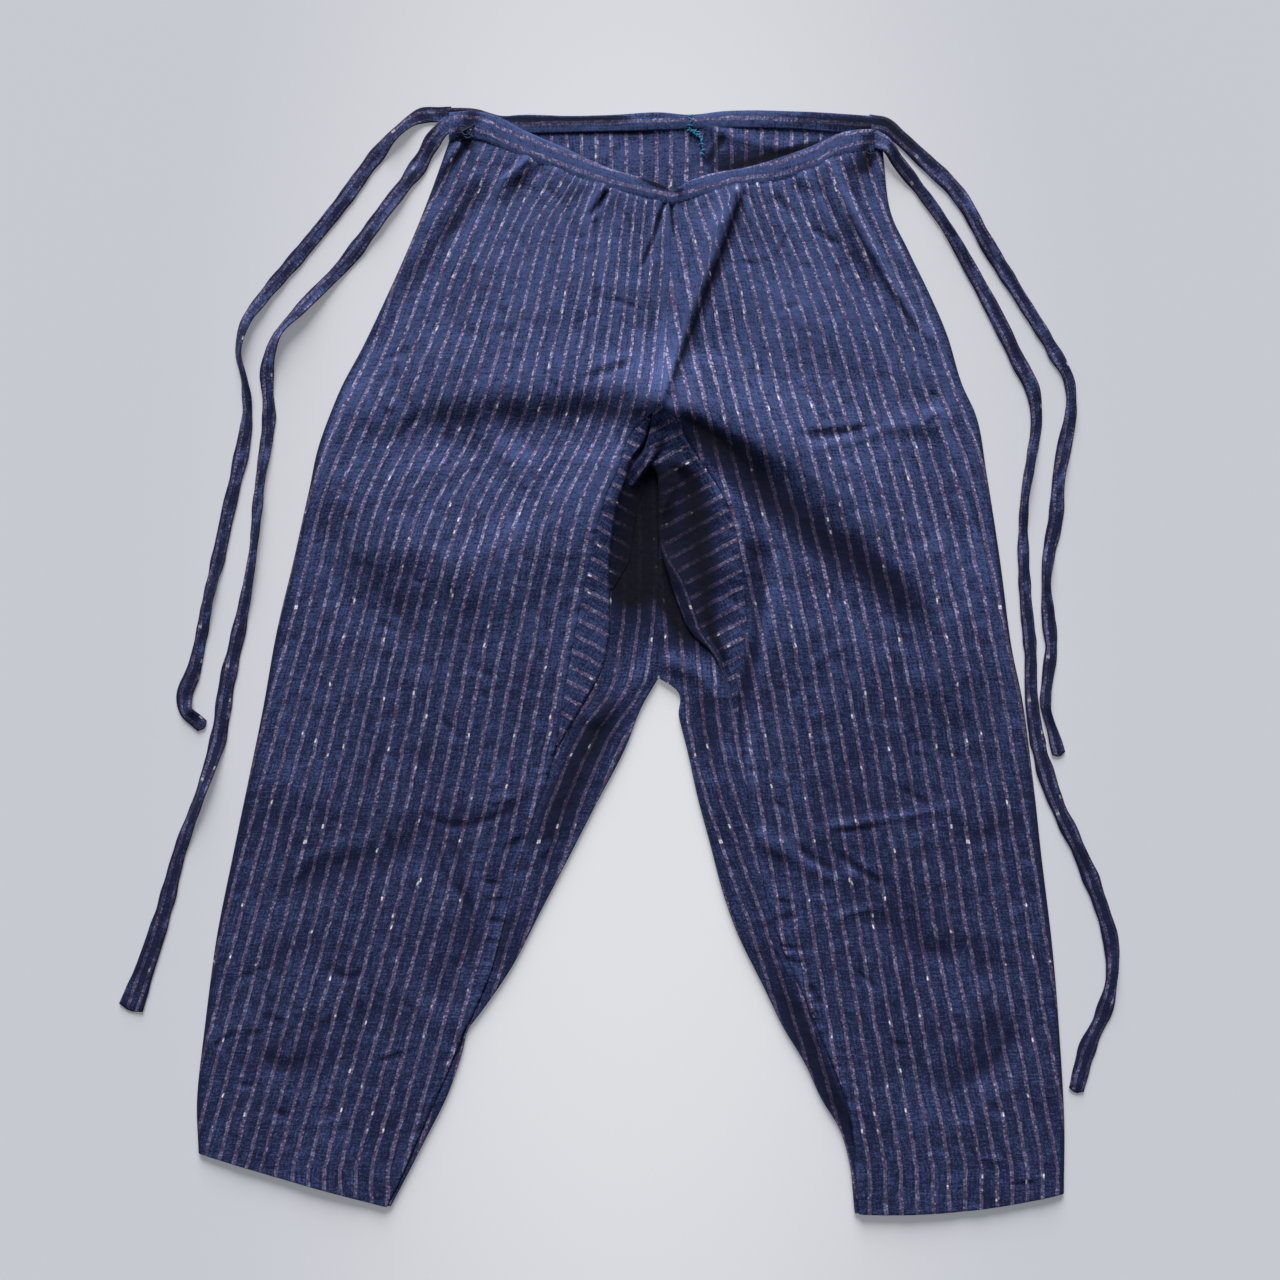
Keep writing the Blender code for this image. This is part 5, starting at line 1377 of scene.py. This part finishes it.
class Nodes:
    """Short ways to add shader nodes and join them."""

    def __init__(self, name):
        self.material = bpy.data.materials.new(name)
        self.material.use_nodes = True
        self.tree = self.material.node_tree

    def add(self, kind, inputs=(), output=0, **settings):
        """A node with its settings, and with values for its first inputs or, from a dict, for named ones."""
        node = self.tree.nodes.new("ShaderNode" + kind)
        for key, value in settings.items():
            setattr(node, key, value)
        self.feed(node, inputs)
        return Value(self, node.outputs[output])

    def feed(self, node, inputs):
        for key, value in inputs.items() if isinstance(inputs, dict) else enumerate(inputs):
            if isinstance(value, Value):
                self.tree.links.new(value.socket, node.inputs[key])
            else:
                node.inputs[key].default_value = value

    def math(self, operation, *values):
        return self.add("Math", values, operation=operation)

    def noise(self, x, y, z=0.0, detail=2.0, rough=0.5):
        place = self.add("CombineXYZ", (x, y, z))
        return self.add("TexNoise", {"Vector": place, "Scale": 1.0, "Detail": detail, "Roughness": rough})

    def mix(self, share, a, b):
        return self.add("Mix", {0: share, 6: a, 7: b}, 2, data_type="RGBA")

    def step(self, value, low, high):
        """0 at low, 1 at high, and soft between."""
        limits = {"Value": value, "From Min": low, "From Max": high}
        return self.add("MapRange", limits, interpolation_type="SMOOTHSTEP")

    def finished(self, inputs):
        """The material, with these inputs of its shader."""
        self.feed(self.tree.nodes["Principled BSDF"], inputs)
        return self.material


def striped_cotton(name, stripe=1.0, pitch=STRIPE_PITCH, shade=0.0):
    """Indigo plain weave with two-yarn stripes, dyed in dashes, and a few white slubs.

    stripe is how strongly the stripes show, and shade moves the indigo paler, or darker below zero.
    """
    n = Nodes(name)
    place = n.add("UVMap", uv_map="cloth")
    plain, along = (n.add("SeparateXYZ", (place,), output) * 1000.0 for output in (0, 1))
    wear_and_shade = n.add("Attribute", output="Fac", attribute_name="wear_and_shade")
    # The threads run a little out of line
    drift = n.noise(plain * 0.03, along * 0.022, detail=1.0)
    shake = n.noise(plain * 0.10, along * 0.10, 31.0, 1.0)
    across = plain + (drift - 0.5) * 2.4 + (shake - 0.5) * 2.6

    # The indigo, uneven along the threads both ways, paler towards the hips and on worn crests, darker in
    # painted shade and paler in painted highlights
    warp = n.noise(across * 0.66, along * 0.05)
    weft = n.noise(across * 0.09, along * 0.66, 7.0)
    grain = n.noise(across * 0.62, along * 0.62, 3.0, 3.0, 0.75)
    patch = n.noise(across * 0.13, along * 0.11, 15.0, 3.0, 0.6)
    cloud = n.noise(across * 0.018, along * 0.018, 5.0, 3.0)
    tone = warp * 0.34 + weft * 0.34 + grain * 0.80 + patch * 0.14 + cloud * 0.21
    tone = tone + (wear_and_shade - 0.5) * 0.30 + (shade - 0.29)
    colour = n.mix(n.step(tone, 0.49, 0.81), INDIGO_DARK, INDIGO_LIGHT)

    # Each stripe is two yarns side by side, dyed in dashes of their own
    counted = across / pitch
    number = n.math("ROUND", counted)
    off = (counted - number) * pitch
    crossed = n.step(n.noise(across * 0.9, along * 0.9, 23.0, 1.0), 0.45, 0.62)
    # The yarn darkens lower on the legs and in painted shade
    yarn_dimmed = 1.0 - n.step(wear_and_shade, 0.05, 0.75)
    seat = number * 7.31
    for yarn, side in enumerate((-0.80, 0.80)):
        away = n.math("ABSOLUTE", off - side)
        body = (1.0 - n.step(away, 0.45, 0.95)) * (1.0 - crossed * 0.50)
        dye = n.noise(along * 0.38, seat, 3.7 * yarn, 3.0, 0.7)
        tint = n.noise(along * 0.05, seat, 9.1 + 2.3 * yarn)
        speck = n.noise(along * 0.5, seat, 14.0 + 3.1 * yarn, 2.0, 0.7)
        spot = n.add("CombineXYZ", (along * (1 / SLUB_CELL), number * (7.37 + yarn)))
        slub = n.add("TexVoronoi", {"Vector": spot, "Scale": 1.0}, voronoi_dimensions="2D")
        dyed = n.mix(n.step(tint, 0.36, 0.58), MAROON, MAUVE)
        for share, coat in (
            (n.step(dye, 0.47, 0.60), YARN_PALE),
            ((1.0 - n.step(speck, 0.36, 0.50)) * 0.75, YARN_DARK),
            (yarn_dimmed * 0.72, YARN_DARK),
            (1.0 - n.step(slub, 0.035, 0.075), SLUB_WHITE),
        ):
            dyed = n.mix(share, dyed, coat)
        colour = n.mix(body * stripe, colour, dyed)

    # The relief of weave, fibre and crumple
    turn = 2 * np.pi / THREAD_PITCH
    weave = n.math("SINE", plain * turn) * n.math("SINE", along * turn)
    fuzz = n.noise(plain * 1.3, along * 1.3, 13.0, 3.0, 0.6)
    crumple = n.noise(plain * 0.19, along * 0.20, 17.0, 3.0)
    height = weave * 0.04 + fuzz * 0.34 + crumple * 0.65
    # Painted shade: the cloth turns to its darkest shade colour where the tone attribute is lowest
    return n.finished({
        "Base Color": n.mix((1.0 - n.step(wear_and_shade, -1.1, 0.22)) * 0.94, colour, PAINTED_SHADE_DARK),
        "Normal": n.add("Bump", {"Height": height, "Strength": 0.9, "Distance": 0.0012}),
        "Roughness": grain * 0.12 + 0.84,
        "Specular IOR Level": 0.16,
        "Sheen Weight": 0.04,
        "Sheen Roughness": 0.5,
        "Sheen Tint": SHEEN_TINT,
    })


def thread_material(name, colour):
    n = Nodes(name)
    twist = n.add("TexNoise", {"Vector": n.add("TexCoord", output="Object"), "Scale": 900.0})
    darker = (*(0.55 * c for c in colour[:3]), 1.0)
    colour = n.mix(twist, darker, colour)
    return n.finished({"Base Color": colour, "Roughness": 0.75, "Specular IOR Level": 0.25})


# Making


def place_camera():
    camera = linked("camera", bpy.data.cameras.new("camera"))
    camera.data.lens = CAMERA_LENS
    camera.data.sensor_width = CAMERA_SENSOR
    camera.data.sensor_fit = "HORIZONTAL"
    camera.data.clip_end = 20.0
    x, y, _ = to_metres((*CAMERA_CENTRE, 0.0))
    camera.location = (x, y, VIEW_WIDTH * CAMERA_LENS / CAMERA_SENSOR + 0.004)
    bpy.context.scene.camera = camera


def place_lights():
    """A broad, low light from beyond the waist, and an even pale sky."""
    key = linked("key", bpy.data.lights.new("key", "SUN"))
    key.data.energy = KEY_ENERGY
    key.data.angle = np.radians(KEY_SPREAD)
    key.data.color = KEY_COLOUR
    key.rotation_euler = (-np.radians(90 - KEY_HEIGHT), 0, np.radians(KEY_TURN))
    world = bpy.data.worlds.new("studio")
    world.use_nodes = True
    world.node_tree.nodes["Background"].inputs["Color"].default_value = SKY_COLOUR
    world.node_tree.nodes["Background"].inputs["Strength"].default_value = SKY_STRENGTH
    bpy.context.scene.world = world
    bpy.context.scene.view_settings.view_transform = "Standard"
    bpy.context.scene.view_settings.look = "None"


def place_floor():
    n = Nodes("floor_paper")
    place = n.add("TexCoord", output="Object")
    stretched = n.add("VectorMath", (place, FLOOR_STRETCH), operation="MULTIPLY")
    spread = n.add("VectorMath", (stretched,), "Value", operation="LENGTH")
    colour = n.mix(n.step(spread, 0.10, 0.62), FLOOR_COLOUR, FLOOR_FAR)
    # Painted light: the floor's own glow, and its pool of light near the middle
    paper = n.finished({
        "Base Color": colour,
        "Emission Color": colour,
        "Emission Strength": FLOOR_GLOW,
        "Roughness": 0.9,
        "Specular IOR Level": 0.1,
    })
    paper.cycles.emission_sampling = "NONE"
    mesh = bpy.data.meshes.new("floor")
    corners = [(-1, -1), (1, -1), (1, 1), (-1, 1)]
    mesh.from_pydata([(FLOOR_SIZE * x, FLOOR_SIZE * y, 0) for x, y in corners], [], [(0, 1, 2, 3)])
    mesh.materials.append(paper)
    floor = linked("floor", mesh)
    floor.location = (0, 0, FLOOR_Z)


def stand_for(piece, node):
    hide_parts(node)
    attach(piece, "root")


def main():
    place_camera()
    cotton = striped_cotton("striped_cotton")
    banded = striped_cotton("band_cotton", stripe=0.7, pitch=10.0, shade=0.02)
    taped = striped_cotton("tape_cotton", stripe=0.5, pitch=9.0, shade=-0.12)
    for name, route, seed in (
        ("tie_front_left", TIE_FRONT_LEFT, 51),
        ("tie_front_right", TIE_FRONT_RIGHT, 53),
        ("tie_back_left", TIE_BACK_LEFT, 57),
        ("tie_back_right", TIE_BACK_RIGHT, 59),
    ):
        stand_for(tie(name + "_cloth", route, taped, seed), name)
    place_lights()
    place_floor()
    fronts = [
        front("front_left_cloth", LEFT, LEFT_STRIPES, cotton),
        front("front_right_cloth", RIGHT, RIGHT_STRIPES, cotton),
    ]
    backs = [
        back("back_left_cloth", LEFT, LEFT_FLAP_TOP, LEFT_WRAP_STRIPES, cotton),
        back("back_right_cloth", RIGHT, RIGHT_FLAP_TOP, RIGHT_WRAP_STRIPES, cotton),
    ]
    gussets = [gusset_left(cotton), gusset_right(cotton)]
    bands = [front_band(banded), back_band(banded)]
    sewing()
    for piece, node, under, cut in zip(fronts, ("front_left", "front_right"), backs, FRONT_CUTS):
        stand_for(piece, node)
    for piece, node, cut in zip(backs, ("back_left", "back_right"), BACK_CUTS):
        stand_for(piece, node)
    for piece, node, under, cut in zip(gussets, ("gusset_left", "gusset_right"), backs, GUSSET_CUTS):
        stand_for(piece, node)
    for piece, node, cut in zip(bands, ("front_band", "back_band"), BAND_CUTS):
        stand_for(piece, node)


main()
